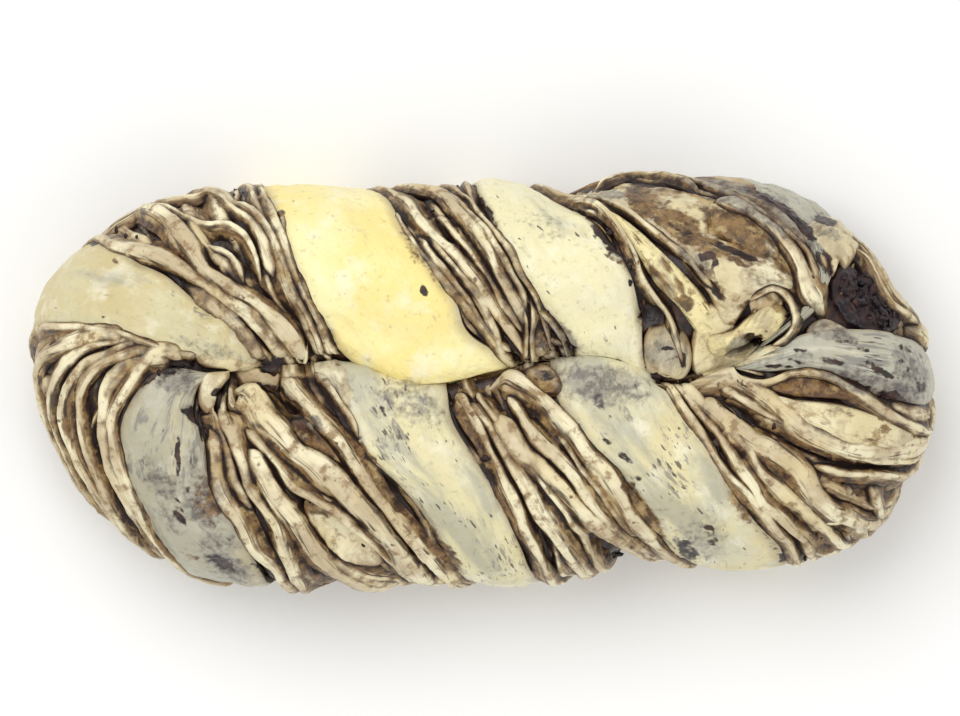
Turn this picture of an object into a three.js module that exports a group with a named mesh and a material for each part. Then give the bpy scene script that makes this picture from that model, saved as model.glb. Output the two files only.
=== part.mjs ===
// Marble bread: one rope of laminated dough, folded into a U and twisted, its two legs lying side by side.
// Seen from above the U-turn is on the left (-X) and the two rope ends are tucked together on the right (+X).
// Plain sheets of dough alternate with bundles of thin layers, and all of them run slantwise over the rope,
// from the seam between the legs, over the crown and down the side to the base.
// Millimetres, +Z up. The origin is in the middle of the flat base.

import * as THREE from "three";

// ---- Driving dimensions ------------------------------------------------------------------------------------------

const LEG = 110; // straight length of each leg
const TURN = 69; // length of the half turn at each end, along the crown
const SEAM_Y = 2.9; // the line on which the legs meet lies a little behind the middle
const SEAM_GAP = 0.8; // half width of the crease in the seam
const CROWN_HEIGHT = 46.5; // top of a leg, without its layers
const WAIST_HEIGHT = 21.5; // height at which the loaf is widest
const CROWN_SHARE = 0.46; // place of the crown between seam and side
const LIFT = CROWN_HEIGHT - WAIST_HEIGHT;
const SIDE_SHARE = 1 - CROWN_SHARE;

// Reach from the spine to the side, at even steps: back leg, left turn, front leg, right turn.
const BACK_REACH = [41.0, 41.6, 40.6, 39.4, 40.6, 39.0, 38.4, 39.4];
const LEFT_REACH = [39.2, 39.3, 43.8, 41.0, 41.6];
const FRONT_REACH = [45.8, 47.0, 47.3, 45.2, 46.2, 46.0, 43.2, 41.5];
const RIGHT_REACH = [42.6, 45.2, 44.2, 41.2, 38.8];

// How far the seam wanders to the back, at even steps from the left end of the legs to the right.
const SEAM_WANDER = [0, 1.4, 1.4, -3.0, -0.7, 2.2, 2.6, -1.8, 0.6];

// Relief
const CREASE_DEPTH = 1.2; // crease beside a plain sheet
const SHEET_RISE = 1.5; // crown of a plain sheet
const LAYER_DEPTH = 1.1; // groove between two thin layers
const LAYER_RISE = 0.7; // crest of a thin layer
const LAYER_UNEVEN = 0.8; // how unevenly the layers stand out
const LAYER_WAVE = 0.3; // how much a layer rises and falls on its way, as a share of its rise
const WAVE_PER_ROW = 1.1; // turn of that wave from one row of the grid to the next, in radians
const LAYER_SWAY = 0.3; // how far a layer wanders, as a share of its width
const SIDE_DRIFT = 12; // how far the layers run on along the loaf while they go down the side

// Grid
const TOP_ROWS = 11;
const SIDE_ROWS = 5;
const ROUTE_STEPS = 60;
const LEAST_GAP = 0.3; // between neighbouring borders, for each layer between them

// ---- Borders between the bands of dough --------------------------------------------------------------------------
// Each border is seen from above, [x, y], from the seam outwards to the side of the loaf. The bands lie between one
// border and the next, counterclockwise from the right end. A band is one plain sheet, or a number of thin layers.

const BANDS = [
  {
    name: "end crust",
    layers: 4,
    rise: -0.6,
    border: [[57.9, 4.6], [62.3, 7.3], [70, 10.6], [81, 11.7], [92, 9.9], [99.9, 6.8]],
  },
  {
    name: "end cream",
    layers: 1,
    rise: 0,
    border: [[57.9, 5.1], [64.5, 8.8], [73.3, 13.4], [78.3, 20], [81.6, 25.3], [86, 27.9]],
  },
  {
    name: "end grey sheet",
    layers: 1,
    rise: 0.3,
    border: [[57.6, 5.5], [63.4, 9.5], [71.3, 14.7], [75.7, 22.2], [78.3, 28.8], [81, 33.4]],
  },
  {
    name: "top arcs",
    layers: 2,
    rise: 0.6,
    border: [[57.4, 5.7], [62.5, 10.1], [69.5, 16.1], [72.6, 25.3], [66.9, 35.4], [57.9, 40.9],
      [51.5, 44.9]],
  },
  {
    name: "end leaf",
    layers: 3,
    rise: -1.2,
    border: [[57.2, 6.2], [61.6, 10.8], [67.8, 16.5], [70.4, 24], [66, 30.4], [59.4, 37.2], [48, 41.6],
      [34.8, 43.8], [26, 43.8]],
  },
  {
    name: "folded end",
    layers: 3,
    rise: -0.4,
    border: [[57, 6.6], [60.7, 11.2], [65.6, 17.6], [64.2, 24], [57.2, 28.6], [48, 33.2], [37, 39.2],
      [28.2, 42], [22, 42.5]],
  },
  {
    name: "back right layers",
    layers: 4,
    rise: 0,
    border: [[56.5, 7.3], [59, 11.7], [58.5, 17.6], [52.4, 23.8], [44, 28.8], [34.8, 35.4], [26, 40],
      [19.8, 41.6]],
  },
  {
    name: "back brown face",
    layers: 3,
    rise: -0.8,
    border: [[41.5, 3.2], [41.8, 7.3], [40.9, 14.3], [38.1, 20.5], [33, 28.2], [26, 35.4], [19.8, 39.6], [14.5, 42.7]],
  },
  {
    name: "back right sheet",
    layers: 1,
    rise: 0.4,
    border: [[37, 4.4], [35.2, 8], [33, 19.4], [28.6, 29.7], [20.5, 38.5], [9.7, 44.2]],
  },
  {
    name: "back middle layers",
    layers: 8,
    rise: 0,
    border: [[21.1, 6.6], [17.2, 12.8], [11.4, 19.4], [6.4, 27.1], [1.1, 38.1], [-1.8, 43.8]],
  },
  {
    name: "yellow sheet",
    layers: 1,
    rise: 0.8,
    border: [[8.4, 4.6], [1.8, 7.5], [-3.7, 12.1], [-7, 18.3], [-11.4, 24.9], [-18, 34.5], [-23.3, 41]],
  },
  {
    name: "back left layers",
    layers: 12,
    rise: 0,
    border: [[-26.4, 4.4], [-29.9, 7.7], [-33.9, 12.1], [-38.3, 18.7], [-40.7, 24.9], [-44.4, 34.8], [-48.4, 43]],
  },
  {
    name: "left sheet",
    layers: 1,
    rise: 0.6,
    border: [[-48.4, 4.2], [-51, 8.1], [-54.6, 12.5], [-62, 17.6], [-70.8, 24], [-77.4, 27.5], [-84.5, 30.8]],
  },
  {
    name: "left fan",
    layers: 10,
    rise: 0,
    border: [[-53.2, 4.1], [-56.5, 4.6], [-62, 5.7], [-71.9, 7.9], [-79.6, 10.8], [-90.6, 12.1], [-99, 11.4]],
  },
  {
    name: "front left sheet",
    layers: 1,
    rise: 0.2,
    border: [[-56.3, 2.2], [-62, 2.6], [-68.6, 2.9], [-73.5, -0.2], [-77.4, -6.4], [-78.8, -14.7], [-77.7, -23.5],
      [-73.5, -32.8], [-66.4, -40.3]],
  },
  {
    name: "front left layers",
    layers: 12,
    rise: 0,
    border: [[-56.8, 1.5], [-60.9, -0.4], [-62.9, -4.8], [-60.7, -12.5], [-59.8, -21.3], [-56.3, -27.5], [-51, -36.3],
      [-46.2, -44.2]],
  },
  {
    name: "front middle sheet",
    layers: 1,
    rise: 0.5,
    border: [[-36.1, 3], [-33.4, -2.6], [-27.9, -9.7], [-24.2, -16.1], [-16.3, -23.5], [-9.2, -34.5], [-1.5, -43.8]],
  },
  {
    name: "front middle layers",
    layers: 9,
    rise: 0,
    border: [[-8.8, -0.7], [-7, -6.4], [-4.6, -12.8], [1.8, -22.7], [7.3, -33.4], [13, -43.8]],
  },
  {
    name: "front right sheet",
    layers: 1,
    rise: 0.5,
    border: [[14.5, 4.2], [17.2, -4.2], [21.6, -10.3], [26.2, -16.1], [35.4, -26.6], [43.6, -39.2]],
  },
  {
    name: "right fan, front",
    layers: 6,
    rise: 0,
    border: [[37.4, 2.4], [44, -5.9], [48.4, -13], [52.8, -20.5], [61.2, -32.3], [67.8, -40.7]],
  },
  {
    name: "right fan, end",
    layers: 6,
    rise: 0,
    border: [[45.8, 1.5], [50.6, -2.6], [57.2, -8.1], [66, -12.8], [77, -17.2], [92.4, -19.6]],
  },
  {
    name: "end grey band",
    layers: 1,
    rise: 0.6,
    border: [[51.3, 2.2], [57.9, 2], [65.6, 2.9], [74.4, 2.2], [81, -0.7], [92, -3.7], [99.4, -4.6]],
  },
];

// Rounder or hollower places: lumps of folded dough and pockets between the layers.
const LUMPS = [
  { name: "pale fold", x: 55, y: 25, along: 12, across: 5, turn: -20, rise: 2.6 },
  { name: "curled fold", x: 58, y: 14, along: 10, across: 6, turn: 5, rise: 2.8 },
  { name: "pocket by the curl", x: 56, y: 8, along: 5, across: 2.5, turn: 0, rise: -3.2 },
  { name: "knob in the seam", x: 41, y: 7, along: 5.5, across: 5, turn: 0, rise: 2.4 },
  { name: "pocket over the knob", x: 37, y: 15, along: 3, across: 2.5, turn: 0, rise: -3 },
  { name: "end pocket", x: 85, y: 20, along: 7, across: 5, turn: -50, rise: -2.6 },
  { name: "notch in the back", x: 19, y: 41, along: 6, across: 5, turn: 0, rise: -2.4 },
  { name: "notch in the front", x: 36, y: -39, along: 7, across: 6, turn: 0, rise: -1.8 },
  { name: "back pocket", x: -57, y: 30, along: 5, across: 2, turn: -35, rise: -2.4 },
  { name: "front pocket", x: -42, y: -3, along: 4, across: 2, turn: -40, rise: -2.6 },
  { name: "front lens", x: 28, y: -36.5, along: 7, across: 2, turn: -25, rise: -2.2 },
];

// ---- Small helpers -----------------------------------------------------------------------------------------------

const LOOP = 2 * LEG + 2 * TURN;
const FRONT_START = LEG + TURN;
const RIGHT_START = FRONT_START + LEG;
const BASE_ANGLE = Math.asin(WAIST_HEIGHT / LIFT);
const DEGREES = Math.PI / 180;

function mix(a, b, share) {
  return a + (b - a) * share;
}

function clamp(value, low, high) {
  return Math.min(high, Math.max(low, value));
}

function smooth(value) {
  const share = clamp(value, 0, 1);
  return share * share * (3 - 2 * share);
}

function wrap(value, length) {
  return ((value % length) + length) % length;
}

// A fixed pseudo-random number between -1 and 1 for each whole number.
function chance(seed) {
  const wave = Math.sin(seed * 127.1 + 311.7) * 43758.5453;
  return 2 * (wave - Math.floor(wave)) - 1;
}

// The curve through four values, between the second and the third.
function through(before, start, end, after, share) {
  const slopeIn = (end - before) / 2;
  const slopeOut = (after - start) / 2;
  const square = share * share;
  const cube = square * share;
  return start * (2 * cube - 3 * square + 1) + slopeIn * (cube - 2 * square + share) +
    end * (3 * square - 2 * cube) + slopeOut * (cube - square);
}

// ---- The plain loaf ----------------------------------------------------------------------------------------------
// A place on the loaf is (run, angle). The run goes round the loop in millimetres along the crown: back leg from right
// to left, left turn, front leg from left to right, right turn. The angle goes over the leg's section: 90 degrees at
// the crown, 0 at the widest line, negative below it.

const REACH = [...BACK_REACH, ...LEFT_REACH, ...FRONT_REACH, ...RIGHT_REACH];

function reachStation(run) {
  if (run < LEG) return (run / LEG) * BACK_REACH.length;
  if (run < FRONT_START) return BACK_REACH.length + ((run - LEG) / TURN) * LEFT_REACH.length;
  const past = BACK_REACH.length + LEFT_REACH.length;
  if (run < RIGHT_START) return past + ((run - FRONT_START) / LEG) * FRONT_REACH.length;
  return past + FRONT_REACH.length + ((run - RIGHT_START) / TURN) * RIGHT_REACH.length;
}

function reach(run) {
  const station = reachStation(wrap(run, LOOP));
  const first = Math.floor(station);
  const at = (index) => REACH[wrap(index, REACH.length)];
  return through(at(first - 1), at(first), at(first + 1), at(first + 2), station - first);
}

function seamWander(x) {
  const station = clamp((x + LEG / 2) / LEG, 0, 1) * (SEAM_WANDER.length - 1);
  const first = Math.min(Math.floor(station), SEAM_WANDER.length - 2);
  const at = (index) => SEAM_WANDER[clamp(index, 0, SEAM_WANDER.length - 1)];
  return through(at(first - 1), at(first), at(first + 1), at(first + 2), station - first);
}

// The spine's point and the outward direction there, seen from above, with the seam's distance from the spine.
function spine(run) {
  const place = wrap(run, LOOP);
  if (place < LEG) {
    const x = LEG / 2 - place;
    return { x, nx: 0, ny: 1, seam: seamWander(x) };
  }
  if (place < FRONT_START) {
    const angle = (90 + (180 * (place - LEG)) / TURN) * DEGREES;
    return { x: -LEG / 2, nx: Math.cos(angle), ny: Math.sin(angle), seam: 0 };
  }
  if (place < RIGHT_START) {
    const x = place - FRONT_START - LEG / 2;
    return { x, nx: 0, ny: -1, seam: -seamWander(x) };
  }
  const angle = (-90 + (180 * (place - RIGHT_START)) / TURN) * DEGREES;
  return { x: LEG / 2, nx: Math.cos(angle), ny: Math.sin(angle), seam: seamWander(LEG / 2) * Math.sin(angle) };
}

function loafPoint(run, angle) {
  const { x, nx, ny, seam } = spine(run);
  const inner = seam + SEAM_GAP;
  const out = mix(inner, reach(run), CROWN_SHARE + SIDE_SHARE * Math.cos(angle));
  return new THREE.Vector3(x + nx * out, SEAM_Y + ny * out, WAIST_HEIGHT + LIFT * Math.sin(angle));
}

// The loaf's outward normal.
function loafNormal(run, angle) {
  const step = 0.01;
  const along = loafPoint(run + step * TURN, angle).sub(loafPoint(run - step * TURN, angle));
  const over = loafPoint(run, angle + step).sub(loafPoint(run, angle - step));
  return along.cross(over).normalize();
}

// The place on the loaf that lies under a point seen from above, on the back leg or the front one.
function placeUnder([x, y], onBack) {
  const dx = x - clamp(x, -LEG / 2, LEG / 2);
  const dy = y - SEAM_Y;
  let run = onBack ? LEG / 2 - x : FRONT_START + x + LEG / 2;
  let out = onBack ? dy : -dy;
  if (dx < 0) run = LEG + (wrap(Math.atan2(dy, dx) / DEGREES - 90, 360) / 180) * TURN;
  if (dx > 0) run = RIGHT_START + ((Math.atan2(dy, dx) / DEGREES + 90) / 180) * TURN;
  if (dx !== 0) out = Math.hypot(dx, dy);
  const inner = spine(run).seam + SEAM_GAP;
  const share = clamp((out - inner) / (reach(run) - inner), 0, 1);
  return { run, angle: Math.acos(clamp((share - CROWN_SHARE) / SIDE_SHARE, -1, 1)) };
}

// ---- Routes over the loaf ----------------------------------------------------------------------------------------

const SEAM_ANGLE = Math.acos(-CROWN_SHARE / SIDE_SHARE);

// A border as a smooth route of evenly spaced places, from the seam to the side.
function borderRoute(border) {
  const onBack = border[border.length - 1][1] > SEAM_Y;
  const places = border.map((point) => placeUnder(point, onBack));
  for (let i = 1; i < places.length; i += 1) {
    while (places[i].run - places[i - 1].run > LOOP / 2) places[i].run -= LOOP;
    while (places[i].run - places[i - 1].run < -LOOP / 2) places[i].run += LOOP;
  }
  places[0].angle = SEAM_ANGLE;
  places[places.length - 1].angle = 0;
  const at = (index) => places[clamp(index, 0, places.length - 1)];
  const fine = [];
  for (let i = 0; i < places.length - 1; i += 1) {
    const steps = Math.ceil(ROUTE_STEPS / places.length);
    for (let j = 0; j < steps; j += 1) {
      const share = j / steps;
      const curve = (key) => through(at(i - 1)[key], at(i)[key], at(i + 1)[key], at(i + 2)[key], share);
      fine.push({ run: curve("run"), angle: curve("angle") });
    }
  }
  fine.push(places[places.length - 1]);
  return evenSteps(fine, TOP_ROWS);
}

// Neighbouring borders never cross: each keeps at least a little way from the one before.
function keepApart(routes) {
  for (let i = 1; i < routes.length; i += 1) {
    const edge = routes[i][TOP_ROWS].run;
    const laps = Math.round((routes[i - 1][TOP_ROWS].run - edge) / LOOP);
    routes[i].forEach((place, row) => {
      const least = routes[i - 1][row].run + LEAST_GAP * (BANDS[i - 1].layers + 1);
      place.run = Math.max(place.run + laps * LOOP, least);
    });
  }
  return routes;
}

function evenSteps(places, count) {
  const points = places.map((place) => loafPoint(place.run, place.angle));
  const lengths = [0];
  for (let i = 1; i < points.length; i += 1) {
    lengths.push(lengths[i - 1] + points[i].distanceTo(points[i - 1]));
  }
  const result = [];
  let first = 0;
  for (let k = 0; k <= count; k += 1) {
    const goal = (lengths[lengths.length - 1] * k) / count;
    while (first < lengths.length - 2 && lengths[first + 1] < goal) first += 1;
    const share = (goal - lengths[first]) / (lengths[first + 1] - lengths[first]);
    result.push({
      run: mix(places[first].run, places[first + 1].run, share),
      angle: mix(places[first].angle, places[first + 1].angle, share),
    });
  }
  return result;
}

// The route goes on down the side to the base.
function withSide(route) {
  const edge = route[route.length - 1];
  const side = [];
  for (let k = 1; k <= SIDE_ROWS; k += 1) {
    const share = k / SIDE_ROWS;
    side.push({ run: edge.run + SIDE_DRIFT * share ** 1.5, angle: -BASE_ANGLE * share });
  }
  return [...route, ...side];
}

// ---- The layers --------------------------------------------------------------------------------------------------

const LAYER_SECTION = [
  { at: 0.02, rise: -LAYER_DEPTH },
  { at: 0.3, rise: LAYER_RISE },
  { at: 0.72, rise: LAYER_RISE * 0.8 },
];

const SHEET_SECTION = [
  { at: 0.02, rise: -CREASE_DEPTH },
  { at: 0.08, rise: SHEET_RISE * 0.3 },
  { at: 0.28, rise: SHEET_RISE * 0.85 },
  { at: 0.5, rise: SHEET_RISE },
  { at: 0.75, rise: SHEET_RISE * 0.8 },
  { at: 0.93, rise: SHEET_RISE * 0.2 },
];

// The columns of one band: where each lies between its two borders, and how far it stands out.
function bandColumns(band, bandIndex) {
  const columns = [];
  const section = band.layers === 1 ? SHEET_SECTION : LAYER_SECTION;
  for (let layer = 0; layer < band.layers; layer += 1) {
    const seed = bandIndex * 40 + layer;
    const uneven = band.layers === 1 ? 0 : LAYER_UNEVEN * chance(seed);
    const sway = layer === 0 ? 0 : LAYER_SWAY * chance(seed + 0.5);
    for (const { at, rise } of section) {
      const share = (layer + at + sway * (1 - at)) / band.layers;
      columns.push({ share, rise: rise + band.rise + uneven * smooth(rise + 0.5), seed });
    }
  }
  return columns;
}

function lumpRise(point) {
  let rise = 0;
  for (const lump of LUMPS) {
    const turn = lump.turn * DEGREES;
    const dx = point.x - lump.x;
    const dy = point.y - lump.y;
    const along = (dx * Math.cos(turn) + dy * Math.sin(turn)) / lump.along;
    const across = (dy * Math.cos(turn) - dx * Math.sin(turn)) / lump.across;
    rise += lump.rise * Math.exp(-(along * along + across * across));
  }
  return rise;
}

// The relief is flat in the seam and at the base, so that both close cleanly.
function fade(row) {
  const last = TOP_ROWS + SIDE_ROWS;
  return smooth(row / 2) * smooth((last - row) / 1.5);
}

function reliefPoint(place, column, row) {
  const point = loafPoint(place.run, place.angle);
  const uneven = 1 + LAYER_WAVE * Math.sin(row * WAVE_PER_ROW + column.seed * WAVE_PER_ROW ** 2);
  const rise = column.rise * uneven + lumpRise(point);
  return point.addScaledVector(loafNormal(place.run, place.angle), rise * fade(row));
}

function loafColumns() {
  const routes = keepApart(BANDS.map((band) => withSide(borderRoute(band.border))));
  const columns = [];
  BANDS.forEach((band, index) => {
    const start = routes[index];
    const last = index === BANDS.length - 1;
    const end = last ? routes[0].map(({ run, angle }) => ({ run: run + LOOP, angle })) : routes[index + 1];
    for (const column of bandColumns(band, index)) {
      columns.push(start.map((place, row) => {
        const run = mix(place.run, end[row].run, column.share);
        const angle = mix(place.angle, end[row].angle, column.share);
        return reliefPoint({ run, angle }, column, row);
      }));
    }
  });
  return columns;
}

// ---- The solid ---------------------------------------------------------------------------------------------------

// Triangles that close a ring of columns in one row, laid from its left end to its right, facing up.
function closing(columns, row) {
  const across = (column) => columns[wrap(column, columns.length)][row].x;
  const order = columns.map((_, column) => column).sort((a, b) => across(a) - across(b));
  let back = order[0];
  let front = order[0];
  const end = order[columns.length - 1];
  const backEnd = end - (end > back ? columns.length : 0);
  const frontEnd = end + (end < front ? columns.length : 0);
  const triangles = [];
  while (back > backEnd || front < frontEnd) {
    const backTurn = front === frontEnd || (back > backEnd && across(back - 1) < across(front + 1));
    const next = backTurn ? back - 1 : front + 1;
    if (back !== front) triangles.push([back, front, next]);
    if (backTurn) back = next;
    else front = next;
  }
  return triangles.filter(([a, b, c]) => wrap(a - c, columns.length) > 0 && wrap(b - c, columns.length) > 0);
}

function loafGeometry() {
  const columns = loafColumns();
  const rows = TOP_ROWS + SIDE_ROWS + 1;
  const positions = [];
  columns.forEach((column) => column.forEach(({ x, y, z }) => positions.push(x, y, z)));
  const vertex = (column, row) => wrap(column, columns.length) * rows + row;
  const triangles = [];
  for (let column = 0; column < columns.length; column += 1) {
    for (let row = 0; row < rows - 1; row += 1) {
      const a = vertex(column, row);
      const b = vertex(column, row + 1);
      const c = vertex(column + 1, row + 1);
      const d = vertex(column + 1, row);
      triangles.push(a, b, c, a, c, d);
    }
  }
  for (const [a, b, c] of closing(columns, 0)) {
    triangles.push(vertex(a, 0), vertex(b, 0), vertex(c, 0));
  }
  for (const [a, b, c] of closing(columns, rows - 1)) {
    triangles.push(vertex(a, rows - 1), vertex(c, rows - 1), vertex(b, rows - 1));
  }
  const geometry = new THREE.BufferGeometry();
  geometry.setAttribute("position", new THREE.Float32BufferAttribute(positions, 3));
  geometry.setIndex(triangles);
  geometry.computeVertexNormals();
  return geometry;
}

const dough = new THREE.MeshStandardMaterial({ color: 0xd9cda6, roughness: 0.45, metalness: 0 });
const loaf = new THREE.Mesh(loafGeometry(), dough);
loaf.name = "loaf";

const group = new THREE.Group();
group.add(loaf);
export default group;
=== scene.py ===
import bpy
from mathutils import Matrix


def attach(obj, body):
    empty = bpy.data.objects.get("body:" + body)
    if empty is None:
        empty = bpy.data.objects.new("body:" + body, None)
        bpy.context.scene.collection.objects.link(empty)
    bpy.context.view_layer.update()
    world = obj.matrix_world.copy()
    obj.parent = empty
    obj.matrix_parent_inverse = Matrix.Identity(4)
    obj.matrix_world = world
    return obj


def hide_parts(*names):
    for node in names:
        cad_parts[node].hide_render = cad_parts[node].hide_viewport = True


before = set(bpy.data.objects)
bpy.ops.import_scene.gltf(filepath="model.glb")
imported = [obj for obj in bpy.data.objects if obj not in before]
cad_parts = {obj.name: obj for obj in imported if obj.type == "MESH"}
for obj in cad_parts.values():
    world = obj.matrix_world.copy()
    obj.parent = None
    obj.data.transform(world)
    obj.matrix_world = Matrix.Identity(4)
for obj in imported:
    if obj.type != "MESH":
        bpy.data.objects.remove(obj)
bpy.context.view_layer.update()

import math

import bmesh
import bpy
import numpy as np
from mathutils import Vector

# A marbled loaf: one rope of laminated dough, folded into a U and twisted. Plain sheets of dough alternate
# with bundles of thin layers. All run slantwise from the seam between the two legs, over the crown and down
# the side to the base. Lengths are in millimetres here and become metres when a mesh is finished.

MM = 0.001

# ---- The plain loaf ------------------------------------------------------------------------------------
# A place on it is (run, angle). The run goes once round the loop of both legs and both ends, from the back
# leg's right end. The angle goes from the seam over the crown and the widest line (0) down to the base.

LEG = 110.0
TURN = 69.0
LOOP = 2 * LEG + 2 * TURN
FRONT_START = LEG + TURN
RIGHT_START = FRONT_START + LEG
SEAM_Y = 2.9
SEAM_GAP = 0.8
CROWN_HEIGHT = 46.5
WAIST_HEIGHT = 21.5
CROWN_SHARE = 0.46
SIDE_SHARE = 1 - CROWN_SHARE
LIFT = CROWN_HEIGHT - WAIST_HEIGHT
BASE_ANGLE = math.asin(WAIST_HEIGHT / LIFT)
SEAM_ANGLE = math.acos(-CROWN_SHARE / SIDE_SHARE)

BACK_REACH = [41.0, 41.6, 40.6, 39.4, 40.6, 39.0, 38.4, 39.4]
LEFT_REACH = [39.2, 39.3, 43.8, 41.0, 41.6]
FRONT_REACH = [45.8, 47.0, 47.3, 45.2, 46.2, 46.0, 43.2, 41.5]
RIGHT_REACH = [42.6, 45.2, 44.2, 41.2, 38.8]
REACH = np.array(BACK_REACH + LEFT_REACH + FRONT_REACH + RIGHT_REACH)
SEAM_WANDER = np.array([0, 1.4, 1.4, -3.0, -0.7, 2.2, 2.6, -1.8, 0.6])
SLOPE_STEP = 0.01


def through(before, start, end, after, share):
    """The curve through four values, between the second and the third."""
    slope_in = (end - before) / 2
    slope_out = (after - start) / 2
    square = share * share
    cube = square * share
    return (start * (2 * cube - 3 * square + 1) + slope_in * (cube - 2 * square + share)
            + end * (3 * square - 2 * cube) + slope_out * (cube - square))


def smooth(value):
    share = np.clip(value, 0, 1)
    return share * share * (3 - 2 * share)


def turned(x, y, degrees):
    """How far points lie along and across a line that is turned by so many degrees."""
    cosine, sine = math.cos(math.radians(degrees)), math.sin(math.radians(degrees))
    return x * cosine + y * sine, y * cosine - x * sine


def reach(run):
    """How far the loaf reaches from its spine."""
    place = np.mod(run, LOOP)
    starts = np.array([0, LEG, FRONT_START, RIGHT_START])
    counts = np.array([len(BACK_REACH), len(LEFT_REACH), len(FRONT_REACH), len(RIGHT_REACH)])
    lengths = np.array([LEG, TURN, LEG, TURN])
    part = np.searchsorted(starts, place, side="right") - 1
    before = np.concatenate([[0], np.cumsum(counts)])[part]
    station = before + (place - starts[part]) / lengths[part] * counts[part]
    first = np.floor(station).astype(int)
    at = lambda index: REACH[np.mod(index, len(REACH))]
    return through(at(first - 1), at(first), at(first + 1), at(first + 2), station - first)


def seam_wander(x):
    last = len(SEAM_WANDER) - 1
    station = np.clip((x + LEG / 2) / LEG, 0, 1) * last
    first = np.minimum(np.floor(station).astype(int), last - 1)
    at = lambda index: SEAM_WANDER[np.clip(index, 0, last)]
    return through(at(first - 1), at(first), at(first + 1), at(first + 2), station - first)


def spine(run):
    """The spine's x, the outward direction and the seam's distance from the spine."""
    place = np.mod(run, LOOP)
    back = place < LEG
    left = (place >= LEG) & (place < FRONT_START)
    front = (place >= FRONT_START) & (place < RIGHT_START)
    turn = np.where(place < RIGHT_START, np.pi / 2 + np.pi * (place - LEG) / TURN,
                    -np.pi / 2 + np.pi * (place - RIGHT_START) / TURN)
    turn = np.where(back, np.pi / 2, np.where(front, -np.pi / 2, turn))
    x = np.where(left, -LEG / 2, np.where(front, place - FRONT_START - LEG / 2, LEG / 2))
    x = np.where(back, LEG / 2 - place, x)
    sine = np.where(left, 0, np.sin(turn))
    return x, np.cos(turn), np.sin(turn), seam_wander(x) * sine


def loaf_point(run, angle):
    x, nx, ny, seam = spine(run)
    inner = seam + SEAM_GAP
    out = inner + (reach(run) - inner) * (CROWN_SHARE + SIDE_SHARE * np.cos(angle))
    return np.stack([x + nx * out, SEAM_Y + ny * out, WAIST_HEIGHT + LIFT * np.sin(angle)], axis=-1)


def slopes(run, angle):
    """How the plain loaf goes on with a small step of the run and of the angle."""
    with_run = loaf_point(run + SLOPE_STEP * TURN, angle) - loaf_point(run - SLOPE_STEP * TURN, angle)
    with_angle = loaf_point(run, angle + SLOPE_STEP) - loaf_point(run, angle - SLOPE_STEP)
    return with_run, with_angle


def loaf_normal(run, angle):
    normal = np.cross(*slopes(run, angle))
    return normal / np.maximum(np.linalg.norm(normal, axis=-1, keepdims=True), 1e-9)


def place_under(x, y, on_back):
    """The places on the loaf that lie under points seen from above."""
    dx = x - np.clip(x, -LEG / 2, LEG / 2)
    dy = y - SEAM_Y
    turn = np.degrees(np.arctan2(dy, dx))
    run = LEG / 2 - x if on_back else FRONT_START + x + LEG / 2
    run = np.where(dx < 0, LEG + np.mod(turn - 90, 360) / 180 * TURN, run)
    run = np.where(dx > 0, RIGHT_START + (turn + 90) / 180 * TURN, run)
    out = np.where(dx != 0, np.hypot(dx, dy), dy if on_back else -dy)
    inner = spine(run)[3] + SEAM_GAP
    share = np.clip((out - inner) / (reach(run) - inner), 0, 1)
    return run, np.arccos(np.clip((share - CROWN_SHARE) / SIDE_SHARE, -1, 1))


# ---- Routes over the loaf ------------------------------------------------------------------------------

def route_under(points, on_back):
    """The places under a row of points. Their runs go on without a jump where the loop closes."""
    places = [[float(value) for value in place_under(x, y, on_back)] for x, y in points]
    for before, place in zip(places, places[1:]):
        place[0] += LOOP * round((before[0] - place[0]) / LOOP)
    return places


def curve_through(places, steps):
    """A smooth curve through the places, with so many steps from each to the next."""
    padded = np.array([places[0]] + places + [places[-1]])
    shares = np.linspace(0, 1, steps + 1)[:-1]
    fine = [through(*padded[i:i + 4], share) for i in range(len(places) - 1) for share in shares]
    return np.array(fine + [padded[-1]])


def evenly_spaced(fine, count):
    """A route as so many evenly spaced places, and its length."""
    points = loaf_point(fine[:, 0], fine[:, 1])
    lengths = np.concatenate([[0], np.cumsum(np.linalg.norm(np.diff(points, axis=0), axis=1))])
    goals = np.linspace(0, lengths[-1], count)
    return np.stack([np.interp(goals, lengths, fine[:, i]) for i in (0, 1)], axis=1), lengths[-1]


# ---- Bands of dough ------------------------------------------------------------------------------------
# Each row has the band's name, its number of layers, its rise and its first border. The border is seen from
# above, (x, y), from the seam outwards to the side of the loaf. A band lies between its border and the next,
# counterclockwise from the right end: one plain sheet, or a number of thin layers.

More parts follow.
